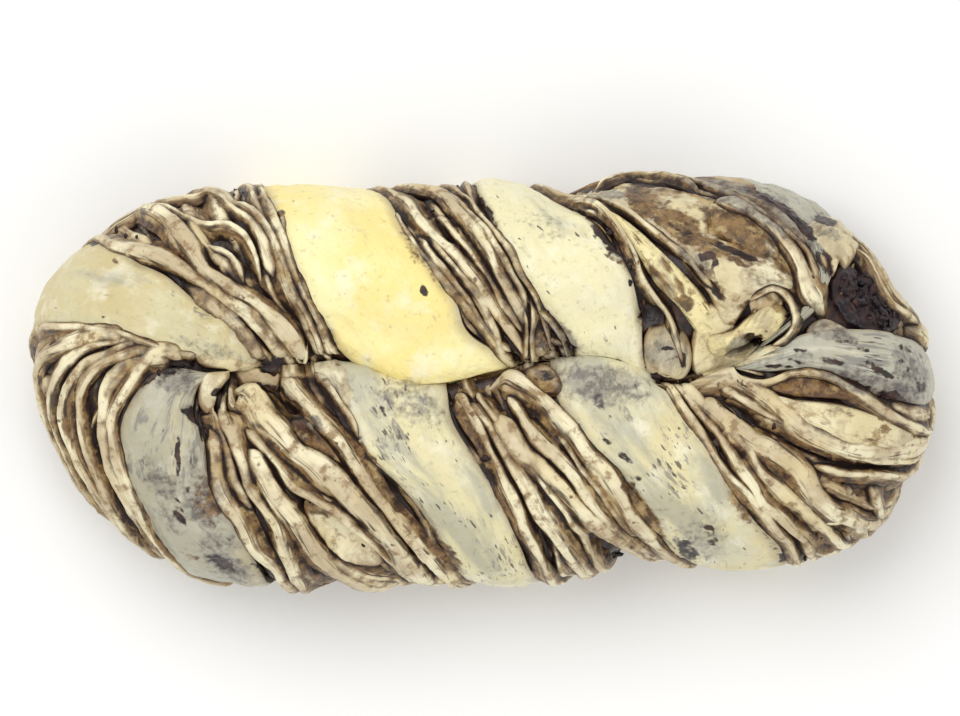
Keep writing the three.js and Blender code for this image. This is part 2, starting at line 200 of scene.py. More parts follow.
BANDS = [
    ("end_crust", 4, -0.6, [(57.9, 4.6), (62.3, 7.3), (70, 10.6), (81, 11.7), (92, 9.9), (99.9, 6.8)]),
    ("end_cream", 3, -0.8, [(57.9, 5.1), (64.5, 8.8), (73.3, 13.4), (78.3, 20), (81.6, 25.3), (86, 27.9)]),
    ("end_grey_sheet", 1, 0.3, [(57.6, 5.5), (63.4, 9.5), (71.3, 14.7), (75.7, 22.2), (78.3, 28.8),
        (81, 33.4)]),
    ("top_arcs", 2, 0.6, [(57.4, 5.7), (62.5, 10.1), (69.5, 16.1), (72.6, 25.3), (66.9, 35.4), (57.9, 40.9),
        (51.5, 44.9)]),
    ("end_leaf", 3, -1.2, [(57.2, 6.2), (61.6, 10.8), (67.8, 16.5), (70.4, 24), (66, 30.4), (59.4, 37.2),
        (48, 41.6), (34.8, 43.8), (26, 43.8)]),
    ("folded_end", 3, -0.4, [(57, 6.6), (60.7, 11.2), (65.6, 17.6), (64.2, 24), (57.2, 28.6), (48, 33.2),
        (37, 39.2), (28.2, 42), (22, 42.5)]),
    ("back_right_layers", 4, 0.0, [(56.5, 7.3), (59, 11.7), (58.5, 17.6), (52.4, 23.8), (44, 28.8),
        (34.8, 35.4), (26, 40), (19.8, 41.6)]),
    ("back_brown_face", 3, -0.8, [(41.5, 3.2), (41.8, 7.3), (40.9, 14.3), (38.1, 20.5), (33, 28.2),
        (26, 35.4), (19.8, 39.6), (14.5, 42.7)]),
    ("back_right_sheet", 1, 0.4, [(37, 4.4), (35.2, 8), (33, 19.4), (28.6, 29.7), (20.5, 38.5), (9.7, 44.2)]),
    ("back_middle_layers", 8, 0.5, [(21.1, 6.6), (17.2, 12.8), (11.4, 19.4), (6.4, 27.1), (1.1, 38.1),
        (-1.8, 43.8)]),
    ("yellow_sheet", 1, 0.8, [(8.4, 4.6), (1.8, 7.5), (-3.7, 12.1), (-7, 18.3), (-11.4, 24.9), (-18, 34.5),
        (-23.3, 41)]),
    ("back_left_layers", 12, 0.0, [(-26.4, 4.4), (-29.9, 7.7), (-33.9, 12.1), (-38.3, 18.7), (-40.7, 24.9),
        (-44.4, 34.8), (-48.4, 43)]),
    ("left_sheet", 1, 0.6, [(-48.4, 4.2), (-51, 8.1), (-54.6, 12.5), (-62, 17.6), (-70.8, 24), (-77.4, 27.5),
        (-84.5, 30.8)]),
    ("left_fan", 10, 0.0, [(-53.2, 4.1), (-56.5, 4.6), (-62, 5.7), (-71.9, 7.9), (-79.6, 10.8), (-90.6, 12.1),
        (-99, 11.4)]),
    ("front_left_sheet", 1, 0.2, [(-56.3, 2.2), (-62, 2.6), (-68.6, 2.9), (-73.5, -0.2), (-77.4, -6.4),
        (-78.8, -14.7), (-77.7, -23.5), (-73.5, -32.8), (-66.4, -40.3)]),
    ("front_left_layers", 12, 0.0, [(-56.8, 1.5), (-60.9, -0.4), (-62.9, -4.8), (-60.7, -12.5),
        (-59.8, -21.3), (-56.3, -27.5), (-51, -36.3), (-46.2, -44.2)]),
    ("front_middle_sheet", 1, 0.5, [(-36.1, 3), (-33.4, -2.6), (-27.9, -9.7), (-24.2, -16.1), (-16.3, -23.5),
        (-9.2, -34.5), (-1.5, -43.8)]),
    ("front_middle_layers", 9, 0.0, [(-8.8, -0.7), (-7, -6.4), (-4.6, -12.8), (1.8, -22.7), (7.3, -33.4),
        (13, -43.8)]),
    ("front_right_sheet", 1, 0.5, [(14.5, 4.2), (17.2, -4.2), (21.6, -10.3), (26.2, -16.1), (35.4, -26.6),
        (43.6, -39.2)]),
    ("right_fan_front", 6, 0.0, [(37.4, 2.4), (44, -5.9), (48.4, -13), (52.8, -20.5), (61.2, -32.3),
        (67.8, -40.7)]),
    ("right_fan_end", 6, 0.0, [(45.8, 1.5), (50.6, -2.6), (57.2, -8.1), (66, -12.8), (77, -17.2),
        (92.4, -19.6)]),
    ("end_grey_band", 1, 0.6, [(51.3, 2.2), (57.9, 2), (65.6, 2.9), (74.4, 2.2), (81, -0.7), (92, -3.7),
        (99.4, -4.6)]),
]
NAMES = [name for name, _, _, _ in BANDS]

SIDE_DRIFT = 12.0      # how far borders and ridges go on round the loaf, from the widest line to the base
BORDER_STEPS = 23
TOP_STEPS = 60
SIDE_STEPS = 26
LEAST_GAP = 0.3

# Lumps and hollows of the whole loaf: x, y, half length, half width, turn in degrees, rise.
LUMPS = [
    (55, 25, 12, 5, -20, 2.6), (58, 14, 10, 6, 5, 2.8), (56, 8, 5, 2.5, 0, -3.2), (41, 7, 5.5, 5, 0, 2.4),
    (37, 15, 3, 2.5, 0, -3), (85, 20, 7, 5, -50, -2.6), (19, 41, 6, 5, 0, -2.4), (36, -39, 7, 6, 0, -1.8),
    (-57, 30, 5, 2, -35, -2.4), (-42, -3, 4, 2, -40, -2.6), (28, -36.5, 7, 2, -25, -2.2),
]


def lump_rise(points):
    """How far lumps and pockets lift the loaf at each point."""
    rise = np.zeros(points.shape[:-1])
    for x, y, half_length, half_width, turn, height in LUMPS:
        along, across = turned(points[..., 0] - x, points[..., 1] - y, turn)
        rise += height * np.exp(-((along / half_length) ** 2 + (across / half_width) ** 2))
    return rise


def border_route(border):
    """A border as evenly spaced places from the seam to the widest line, and from there down to the base."""
    places = route_under(border, border[-1][1] > SEAM_Y)
    places[0][1] = SEAM_ANGLE
    places[-1][1] = 0.0
    route, _ = evenly_spaced(curve_through(places, BORDER_STEPS), TOP_STEPS + 1)
    share = np.arange(1, SIDE_STEPS + 1) / SIDE_STEPS
    side = np.stack([route[-1, 0] + SIDE_DRIFT * share ** 1.5, -BASE_ANGLE * share], axis=1)
    return np.concatenate([route, side])


def all_routes():
    """The borders' routes, clear of each other. The last is the first once more, a loop further on."""
    routes = [border_route(border) for _, _, _, border in BANDS]
    for i in range(1, len(routes)):
        before, route = routes[i - 1], routes[i]
        route[:, 0] += LOOP * round((before[TOP_STEPS, 0] - route[TOP_STEPS, 0]) / LOOP)
        route[:, 0] = np.maximum(route[:, 0], before[:, 0] + LEAST_GAP * (BANDS[i - 1][1] + 1))
    routes.append(routes[0] + np.array([LOOP, 0]))
    return routes


ROUTES = all_routes()


def band_place(band, share, way):
    """The place (run, angle) in a band: share across it, and way from the seam (0) to the base (1)."""
    rows = np.arange(TOP_STEPS + SIDE_STEPS + 1)
    row = np.clip(way, 0, 1) * rows[-1]
    start, end = ROUTES[band], ROUTES[band + 1]
    run, angle = ((1 - share) * np.interp(row, rows, start[:, i]) + share * np.interp(row, rows, end[:, i])
                  for i in (0, 1))
    return run, angle


PHOTO_WIDTH = 960
PHOTO_MIDDLE = (482.0, 383.0)
MM_PER_PIXEL = 0.22


def seen(x, y):
    """A pixel of the photograph as a place seen from above, in millimetres."""
    return (x - PHOTO_MIDDLE[0]) * MM_PER_PIXEL, (PHOTO_MIDDLE[1] - y) * MM_PER_PIXEL


# ---- Single ridges -------------------------------------------------------------------------------------
# The layers that stand out one by one. Each has its half width in millimetres, its lift, how far pale dough
# reaches across it (1 all over, -1 not at all) and its course from the seam outwards, in pixels of the
# photograph.

BACK_LEFT_RIDGES = [
    # beside the left sheet, up to the yellow sheet
    (1.5, 0.9, 0.6, [(296, 360), (282, 348), (270, 333), (259, 321), (240, 308), (212, 288), (181, 270),
        (154, 257), (121, 250), (100, 243)]),
    (1.4, 1.5, 0.8, [(320, 361), (312, 355), (303, 345), (294, 332), (276, 315), (255, 300), (230, 285),
        (211, 271), (196, 250), (183, 233), (169, 220), (142, 216), (128, 222)]),
    (0.6, 1.2, 0.3, [(264, 292), (263, 273), (257, 254), (246, 237), (230, 229), (211, 227), (192, 222),
        (173, 213), (150, 212)]),
    (0.9, 1.2, 0.5, [(282, 292), (276, 277), (267, 254), (259, 235), (250, 222), (230, 208), (211, 197),
        (196, 202)]),
    (1.0, 1.0, 0.5, [(326, 361), (319, 345), (309, 321), (297, 300), (288, 277), (280, 256), (273, 239),
        (261, 222), (246, 210), (234, 206), (215, 195)]),
    (0.7, 1.2, 0.3, [(332, 361), (323, 345), (313, 323), (301, 300), (290, 277), (282, 256), (273, 235),
        (265, 220), (255, 203), (248, 188)]),
    (0.7, 1.3, 0.4, [(338, 361), (328, 340), (315, 312), (305, 292), (295, 271), (288, 250), (278, 227),
        (269, 208), (259, 189)]),
    (2.0, -0.1, 0.7, [(265, 296), (250, 287), (238, 277), (220, 258), (202, 241)]),
    (2.1, 0.0, 0.4, [(276, 364), (265, 354), (246, 333), (221, 304), (200, 290), (180, 277)]),
    (1.1, 1.0, 0.4, [(288, 354), (278, 336), (265, 321), (244, 308), (225, 292)]),
    (0.6, 1.0, 0.6, [(344, 361), (334, 345), (322, 322), (310, 300), (300, 275), (292, 250), (284, 225),
        (275, 204)]),
    (0.6, 1.3, 0.8, [(250, 300), (246, 284), (240, 268), (230, 254), (214, 243), (196, 236)]),
]

BACK_RIGHT_RIDGES = [
    # between the yellow sheet and the back right sheet
    (0.7, 0.9, 0.6, [(520, 357), (508, 348), (494, 336), (478, 314), (460, 290), (443, 268), (426, 248),
        (410, 228)]),
    (0.7, 1.1, 0.7, [(538, 345), (526, 331), (514, 316), (502, 300), (490, 282), (476, 262), (462, 244),
        (446, 226), (430, 210)]),
    (0.9, 0.6, -0.2, [(528, 360), (513, 356), (497, 345), (480, 322), (462, 300), (441, 277), (420, 253),
        (404, 229), (388, 206)]),
    (1.0, 1.3, 0.7, [(542, 358), (528, 350), (512, 332), (495, 308), (479, 285), (462, 266), (443, 247),
        (424, 229), (409, 210), (391, 197)]),
    (0.8, 1.0, 0.6, [(534, 360), (518, 360), (502, 350), (495, 329), (483, 304), (466, 281), (447, 258),
        (430, 235), (414, 214), (384, 196)]),
    (1.1, 1.5, 0.8, [(548, 358), (540, 344), (532, 331), (524, 318), (510, 296), (499, 275), (489, 254),
        (479, 239), (466, 222), (451, 208), (430, 195), (410, 190)]),
    (0.8, 1.1, 0.5, [(553, 358), (545, 342), (534, 324), (526, 308), (522, 292), (510, 273), (499, 254),
        (489, 237), (476, 224), (460, 208), (443, 195), (426, 188)]),
    (0.6, 1.0, 0.3, [(560, 357), (550, 340), (541, 318), (533, 295), (520, 273), (508, 252), (497, 239),
        (489, 228), (479, 216), (470, 204), (457, 195), (443, 184)]),
    # the right end of the back leg
    (0.5, 1.8, 1.0, [(723, 303), (713, 290), (700, 276), (686, 262), (672, 252), (657, 240), (637, 224),
        (611, 208), (591, 200), (568, 194)]),
    (0.5, 1.6, 1.4, [(681, 366), (680, 350), (675, 334), (668, 318), (658, 304), (648, 290), (640, 276),
        (633, 258), (624, 240), (612, 222), (598, 208), (578, 198), (560, 193)]),
    (0.8, 1.8, 1.0, [(726, 302), (720, 286), (706, 272), (690, 263), (676, 254)]),
    (0.45, 2.6, 2.6, [(736, 312), (744, 301), (757, 294), (770, 291), (782, 298), (790, 310), (792, 322),
        (786, 334), (774, 343), (758, 350)]),
    (1.3, 2.4, 0.7, [(820, 326), (812, 310), (803, 294), (797, 278), (788, 262), (776, 246), (760, 230),
        (740, 217), (720, 207), (702, 198)]),
    (0.5, 2.2, 0.2, [(712, 202), (700, 196), (680, 188), (655, 183), (628, 184), (606, 189), (580, 197)]),
    (0.6, 1.8, 0.0, [(820, 304), (816, 292), (810, 276), (800, 256), (786, 241), (768, 226), (748, 212),
        (728, 201), (705, 191), (680, 184)]),
    (0.7, 1.4, -0.2, [(828, 290), (826, 284), (820, 268), (812, 254), (800, 240)]),
    (0.9, 1.2, 0.0, [(936, 352), (915, 326), (894, 295), (876, 268), (860, 250), (842, 238), (826, 228)]),
    (1.0, 0.9, -0.2, [(920, 338), (899, 310), (882, 284), (866, 262), (848, 248), (832, 238)]),
    (1.8, 1.2, 0.9, [(936, 362), (924, 344), (912, 328), (902, 314)]),
    # strands over the pockets
    (0.45, 2.6, 1.0, [(552, 384), (545, 371), (534, 354), (530, 335), (532, 315), (529, 300), (522, 286)]),
    (0.4, 2.2, 0.6, [(523, 362), (524, 342), (526, 323), (522, 304), (514, 288)]),
    (0.35, 2.4, 1.0, [(312, 376), (305, 360), (308, 343), (314, 326)]),
    # grey folds in the hollow beside the back right sheet
    (1.2, 0.4, 1.0, [(574, 356), (562, 353), (550, 348), (540, 341), (535, 331)]),
    (1.0, 0.5, 0.7, [(577, 349), (563, 343), (550, 336), (540, 328), (534, 318)]),
    (0.8, 0.4, 0.4, [(574, 339), (562, 333), (551, 325), (541, 316), (534, 306)]),
]

FRONT_LEFT_RIDGES = [
    # left fan
    (0.8, 1.2, 0.1, [(214, 359), (180, 352), (150, 343), (122, 334), (95, 329), (68, 327), (43, 331),
        (31, 342)]),
    (1.4, 1.3, 0.4, [(150, 340), (125, 337), (100, 336), (78, 343), (58, 353), (46, 366), (43, 384),
        (47, 403), (54, 424), (67, 452)]),
    (1.0, 1.1, 0.2, [(160, 344), (140, 338), (118, 342), (95, 349), (75, 361), (62, 377), (56, 397),
        (57, 415), (64, 440), (76, 466)]),
    (1.1, 1.2, 0.3, [(165, 347), (140, 343), (115, 352), (94, 362), (78, 378), (70, 398), (69, 418),
        (74, 437), (83, 460), (97, 486)]),
    (1.1, 1.1, 0.0, [(175, 350), (150, 350), (123, 358), (104, 366), (92, 378), (86, 395), (85, 412),
        (89, 436), (96, 460), (106, 483), (118, 508)]),
    (1.6, 1.0, 0.2, [(190, 356), (160, 358), (136, 362), (119, 375), (109, 392), (107, 415), (110, 437),
        (115, 462), (124, 485), (138, 508), (152, 532)]),
    (1.2, 1.5, 0.3, [(200, 361), (172, 352), (150, 360), (136, 380), (124, 400), (118, 422), (121, 446),
        (129, 472), (139, 497), (152, 523), (168, 546), (186, 563)]),
    # beside the front left sheet
    (1.2, 1.4, 1.4, [(226, 384), (222, 396), (221, 412)]),
    (0.5, 1.8, 1.4, [(308, 368), (318, 378), (328, 388), (340, 404), (352, 420), (360, 436), (368, 452)]),
    (1.0, 1.2, 1.2, [(240, 398), (250, 402), (258, 410), (262, 422)]),
    (1.1, 1.4, 0.8, [(208, 415), (214, 430), (217, 456), (221, 483), (231, 502), (244, 523), (255, 546),
        (277, 566), (292, 583)]),
    (0.7, 1.2, 0.5, [(214, 395), (216, 414), (224, 437), (233, 458), (238, 480), (250, 500), (262, 520)]),
    (1.1, 1.3, 0.7, [(222, 398), (225, 416), (233, 437), (239, 453), (245, 469), (253, 489), (267, 508),
        (278, 523), (284, 542), (292, 561), (306, 586)]),
    (1.6, 1.5, 0.9, [(236, 440), (247, 450), (259, 459), (268, 472), (278, 489), (289, 504), (301, 519),
        (311, 535), (322, 552), (336, 565), (356, 575), (380, 584)]),
    (0.8, 1.3, 0.5, [(240, 415), (252, 433), (269, 454), (282, 469), (296, 485), (315, 496), (334, 508),
        (353, 523), (372, 538), (388, 553), (405, 570)]),
    (2.0, 1.6, 1.4, [(228, 392), (240, 390), (252, 394), (262, 403), (271, 418), (286, 433), (299, 447),
        (319, 460), (338, 477), (353, 492), (368, 508), (382, 523), (399, 542), (414, 561), (432, 578)]),
    (1.1, 1.7, 0.8, [(278, 372), (286, 384), (301, 400), (317, 418), (335, 436), (350, 455), (363, 473),
        (376, 492), (391, 512), (407, 529), (422, 546), (441, 565), (458, 581)]),
    (1.6, 1.0, 1.2, [(316, 546), (334, 562), (358, 572), (386, 577), (414, 577), (440, 574), (464, 571)]),
]

FRONT_RIGHT_RIDGES = [
    # between the front middle sheet and the front right sheet
    (0.9, 1.3, 0.5, [(458, 386), (463, 400), (474, 419), (487, 440), (498, 465), (506, 484), (518, 507),
        (526, 528), (540, 553), (556, 582)]),
    (1.2, 1.1, 0.8, [(466, 392), (471, 405), (484, 423), (499, 444), (512, 463), (523, 480), (531, 499),
        (542, 518), (556, 536), (574, 560), (588, 578)]),
    (0.7, 1.0, 0.4, [(474, 384), (480, 400), (492, 415), (505, 431), (518, 448), (529, 461), (541, 478),
        (556, 501), (571, 519), (586, 540), (602, 566)]),
    (1.6, 1.5, 0.9, [(492, 404), (506, 427), (521, 450), (541, 465), (556, 480), (574, 497), (593, 515),
        (612, 534), (634, 553), (650, 563)]),
    (1.1, 1.3, 0.8, [(496, 388), (510, 399), (518, 413), (528, 430), (541, 446), (556, 457), (571, 472),
        (583, 490), (594, 507), (609, 522), (629, 541), (655, 559)]),
    (1.5, 1.7, 0.9, [(482, 388), (503, 383), (525, 388), (543, 401), (559, 417), (574, 434), (589, 453),
        (605, 472), (620, 495), (635, 516), (650, 534), (668, 553)]),
    (0.8, 0.9, 0.4, [(545, 420), (562, 440), (578, 462), (594, 485), (612, 508), (630, 527), (650, 545)]),
    # right fan
    (0.8, 1.2, 0.6, [(654, 376), (673, 399), (688, 417), (704, 439), (715, 459), (730, 478), (749, 495),
        (765, 512), (780, 531), (792, 547), (798, 568)]),
    (0.9, 1.2, 0.6, [(662, 380), (688, 405), (704, 422), (721, 439), (734, 462), (749, 483), (758, 499),
        (774, 512), (788, 526), (805, 541), (815, 558)]),
    (1.2, 1.0, 0.4, [(670, 380), (694, 401), (713, 415), (730, 432), (746, 449), (757, 466), (772, 482),
        (788, 497), (803, 508), (820, 522), (838, 540)]),
    (1.8, 1.5, 0.9, [(690, 393), (713, 409), (732, 424), (749, 438), (769, 447), (788, 459), (801, 474),
        (813, 491), (828, 505), (845, 514), (872, 519)]),
    (0.8, 1.2, 0.5, [(676, 373), (695, 376), (713, 385), (729, 397), (749, 407), (772, 417), (792, 430),
        (811, 440), (834, 449), (862, 456), (906, 458)]),
    (1.8, 1.5, 0.9, [(705, 378), (725, 382), (746, 387), (765, 396), (784, 411), (803, 426), (822, 436),
        (849, 445), (880, 447), (915, 440)]),
    (2.2, 0.6, 0.9, [(772, 399), (792, 409), (815, 418), (843, 424), (880, 430), (920, 434)]),
    (0.8, 2.0, 0.7, [(700, 376), (721, 379), (746, 387), (765, 384), (784, 375), (803, 372), (822, 376),
        (841, 386), (864, 401), (889, 417), (914, 428), (930, 430)]),
    (0.5, 1.6, 0.5, [(690, 370), (707, 364), (727, 367), (745, 373), (765, 376), (784, 372)]),
    (0.7, 1.4, 0.5, [(797, 461), (825, 467), (852, 471), (880, 472), (900, 474)]),
    (0.9, 1.2, 0.8, [(838, 478), (846, 492), (856, 502)]),
    (1.6, 0.6, 0.8, [(868, 478), (872, 494), (874, 508)]),
    (0.8, 1.8, 0.8, [(806, 529), (820, 520), (837, 515), (852, 519), (858, 528)]),
    (0.8, 1.2, 0.4, [(790, 552), (806, 545), (822, 549), (836, 546)]),
]

# ---- Folds ---------------------------------------------------------------------------------------------
# Broader folds with an outline of their own, in pixels of the photograph. Each has its name, its lift, its
# crown, the turn of its grain in degrees, how pale it is, whether it lies on the back leg, and the outline.

FOLDS = [
    # the right end: the ball in the hollow, the long yellow leaf and the panel beside it
    ("ball", -1.4, 3.6, 60, 1.6, True, [(640, 338), (648, 327), (662, 322), (678, 326), (689, 338),
        (693, 352), (689, 366), (677, 376), (662, 379), (649, 372), (641, 357)]),
    ("yellow_leaf", 0.3, 1.7, -48, 2.4, True, [ (590, 199), (606, 208), (631, 225), (655, 247), (676, 267),
        (692, 283), (705, 300), (719, 321), (720, 338), (713, 350), (702, 346), (693, 330), (682, 314),
        (669, 301), (654, 287), (643, 270), (632, 252), (617, 232), (603, 215)]),
    ("brown_panel", 0.2, 1.1, -10, 2.2, True, [ (588, 192), (606, 189), (630, 186), (655, 186), (680, 191),
        (700, 199), (710, 211), (712, 232), (704, 243), (686, 246), (668, 241), (655, 228), (640, 216),
        (618, 207), (602, 201)]),
    ("pale_fold", 0.7, 1.4, -25, 2.0, True, [ (672, 238), (690, 236), (712, 240), (735, 246), (757, 252),
        (776, 262), (791, 277), (795, 292), (779, 294), (760, 296), (744, 306), (732, 322), (718, 322),
        (708, 300), (695, 283), (682, 266), (674, 252)]),
    ("golden_leaf", 0.6, 1.7, -38, 2.2, True, [ (705, 205), (722, 208), (740, 216), (757, 228), (770, 241),
        (778, 255), (776, 265), (760, 262), (744, 255), (727, 246), (712, 235), (705, 221)]),
    ("curled_fold", 1.0, 2.2, 25, 2.4, True, [ (702, 332), (716, 327), (735, 319), (752, 309), (768, 302),
        (781, 305), (786, 317), (780, 330), (766, 338), (748, 341), (730, 350), (714, 354), (702, 346)]),
    ("seam_fold", 0.4, 1.5, 12, 2.0, True, [ (690, 372), (700, 361), (716, 354), (732, 357), (750, 359),
        (766, 353), (781, 345), (796, 336), (815, 334), (822, 341), (806, 347), (790, 354), (772, 362),
        (750, 368), (726, 371), (706, 377)]),
    ("leaf_foot", 0.25, 0.75, 35, 2.3, True, [ (691, 330), (697, 313), (707, 302), (722, 307), (738, 322),
        (753, 340), (754, 356), (738, 366), (716, 373), (697, 375), (688, 358)]),
    ("band_shoulder", -0.5, 0.9, 20, 1.6, True, [ (800, 334), (808, 323), (822, 318), (838, 324), (852, 333),
        (842, 341), (822, 344), (806, 342)]),
    ("cream_patch", 0.3, 1.4, 35, 2.0, True, [ (796, 238), (803, 224), (820, 216), (840, 220), (856, 231),
        (860, 246), (853, 260), (845, 268), (838, 262), (832, 276), (826, 270), (820, 256), (808, 248)]),
    # the left end: beside the front left sheet
    ("cream_fold", 0.7, 1.5, -60, 2.2, False, [ (203, 374), (214, 371), (227, 373), (233, 380), (226, 387),
        (219, 395), (216, 408), (209, 413), (202, 404), (200, 388)]),
    ("sheet_lip", 0.9, 1.0, 12, 2.0, True, [ (196, 352), (214, 346), (236, 350), (256, 356), (276, 362),
        (283, 368), (266, 372), (244, 372), (222, 370), (204, 366)]),
    ("seam_film", -0.2, 0.9, 10, 1.0, False, [ (236, 372), (256, 369), (276, 371), (284, 378), (276, 386),
        (258, 386), (242, 384)]),
    ("grey_sheet_end", 0.5, 0.8, -60, 2.2, False, [ (306, 366), (322, 365), (342, 365), (358, 368),
        (366, 384), (366, 404), (362, 422), (350, 414), (336, 398), (322, 384), (312, 374)]),
    ("grey_bubble", 0.2, 0.8, 0, 2.2, False, [ (308, 418), (315, 415), (323, 418), (326, 425), (320, 430),
        (312, 428)]),
    ("brown_hollow", -0.4, 0.8, -48, -1.0, False, [ (290, 416), (304, 414), (318, 422), (332, 434),
        (350, 448), (358, 462), (350, 468), (334, 462), (316, 450), (300, 440), (288, 428)]),
    ("pale_pocket", 2.0, -0.5, -45, 2.0, False, [ (306, 500), (320, 492), (336, 500), (352, 514), (368, 530),
        (380, 546), (384, 558), (370, 562), (350, 558), (334, 548), (320, 532), (309, 515)]),
    # the front middle and the right fan
    ("brown_bubble", 0.9, 1.6, 10, 0.2, False, [ (524, 378), (536, 372), (550, 373), (560, 381), (562, 392),
        (552, 397), (538, 393), (526, 387)]),
    ("golden_face", 0.0, 1.0, -55, 1.5, False, [ (606, 470), (618, 474), (632, 488), (646, 506), (658, 524),
        (668, 542), (664, 550), (650, 538), (634, 520), (618, 502), (608, 486)]),
    ("fan_leaf", 0.9, 1.4, -8, -0.6, False, [ (762, 384), (776, 379), (795, 376), (815, 378), (835, 384),
        (854, 392), (866, 401), (852, 402), (832, 399), (808, 398), (786, 396), (768, 392)]),
    ("fan_face", 1.2, 1.5, -14, 2.3, False, [ (762, 392), (786, 398), (812, 400), (840, 404), (868, 412),
        (894, 424), (912, 434), (914, 448), (890, 452), (862, 449), (838, 444), (814, 436), (794, 424),
        (776, 408)]),
]

# The lump of filling that lies bare at the right end: as a row of FOLDS, without its name.
FILLING_MASS = (-0.6, 1.6, 45, 0.0, True, [
    (828, 282), (834, 266), (846, 258), (862, 262), (880, 272), (895, 288), (907, 304), (916, 320),
    (906, 330), (886, 334), (864, 333), (846, 326), (836, 312), (829, 298)])

# ---- Stains and pockets --------------------------------------------------------------------------------
# Each is (x, y, half length, half width, turn, strength, sink): place and size in pixels of the photograph,
# the turn in degrees from its x axis towards its y axis, and how far the surface sinks in millimetres. A
# mark that doesn't sink it leaves the last value out.

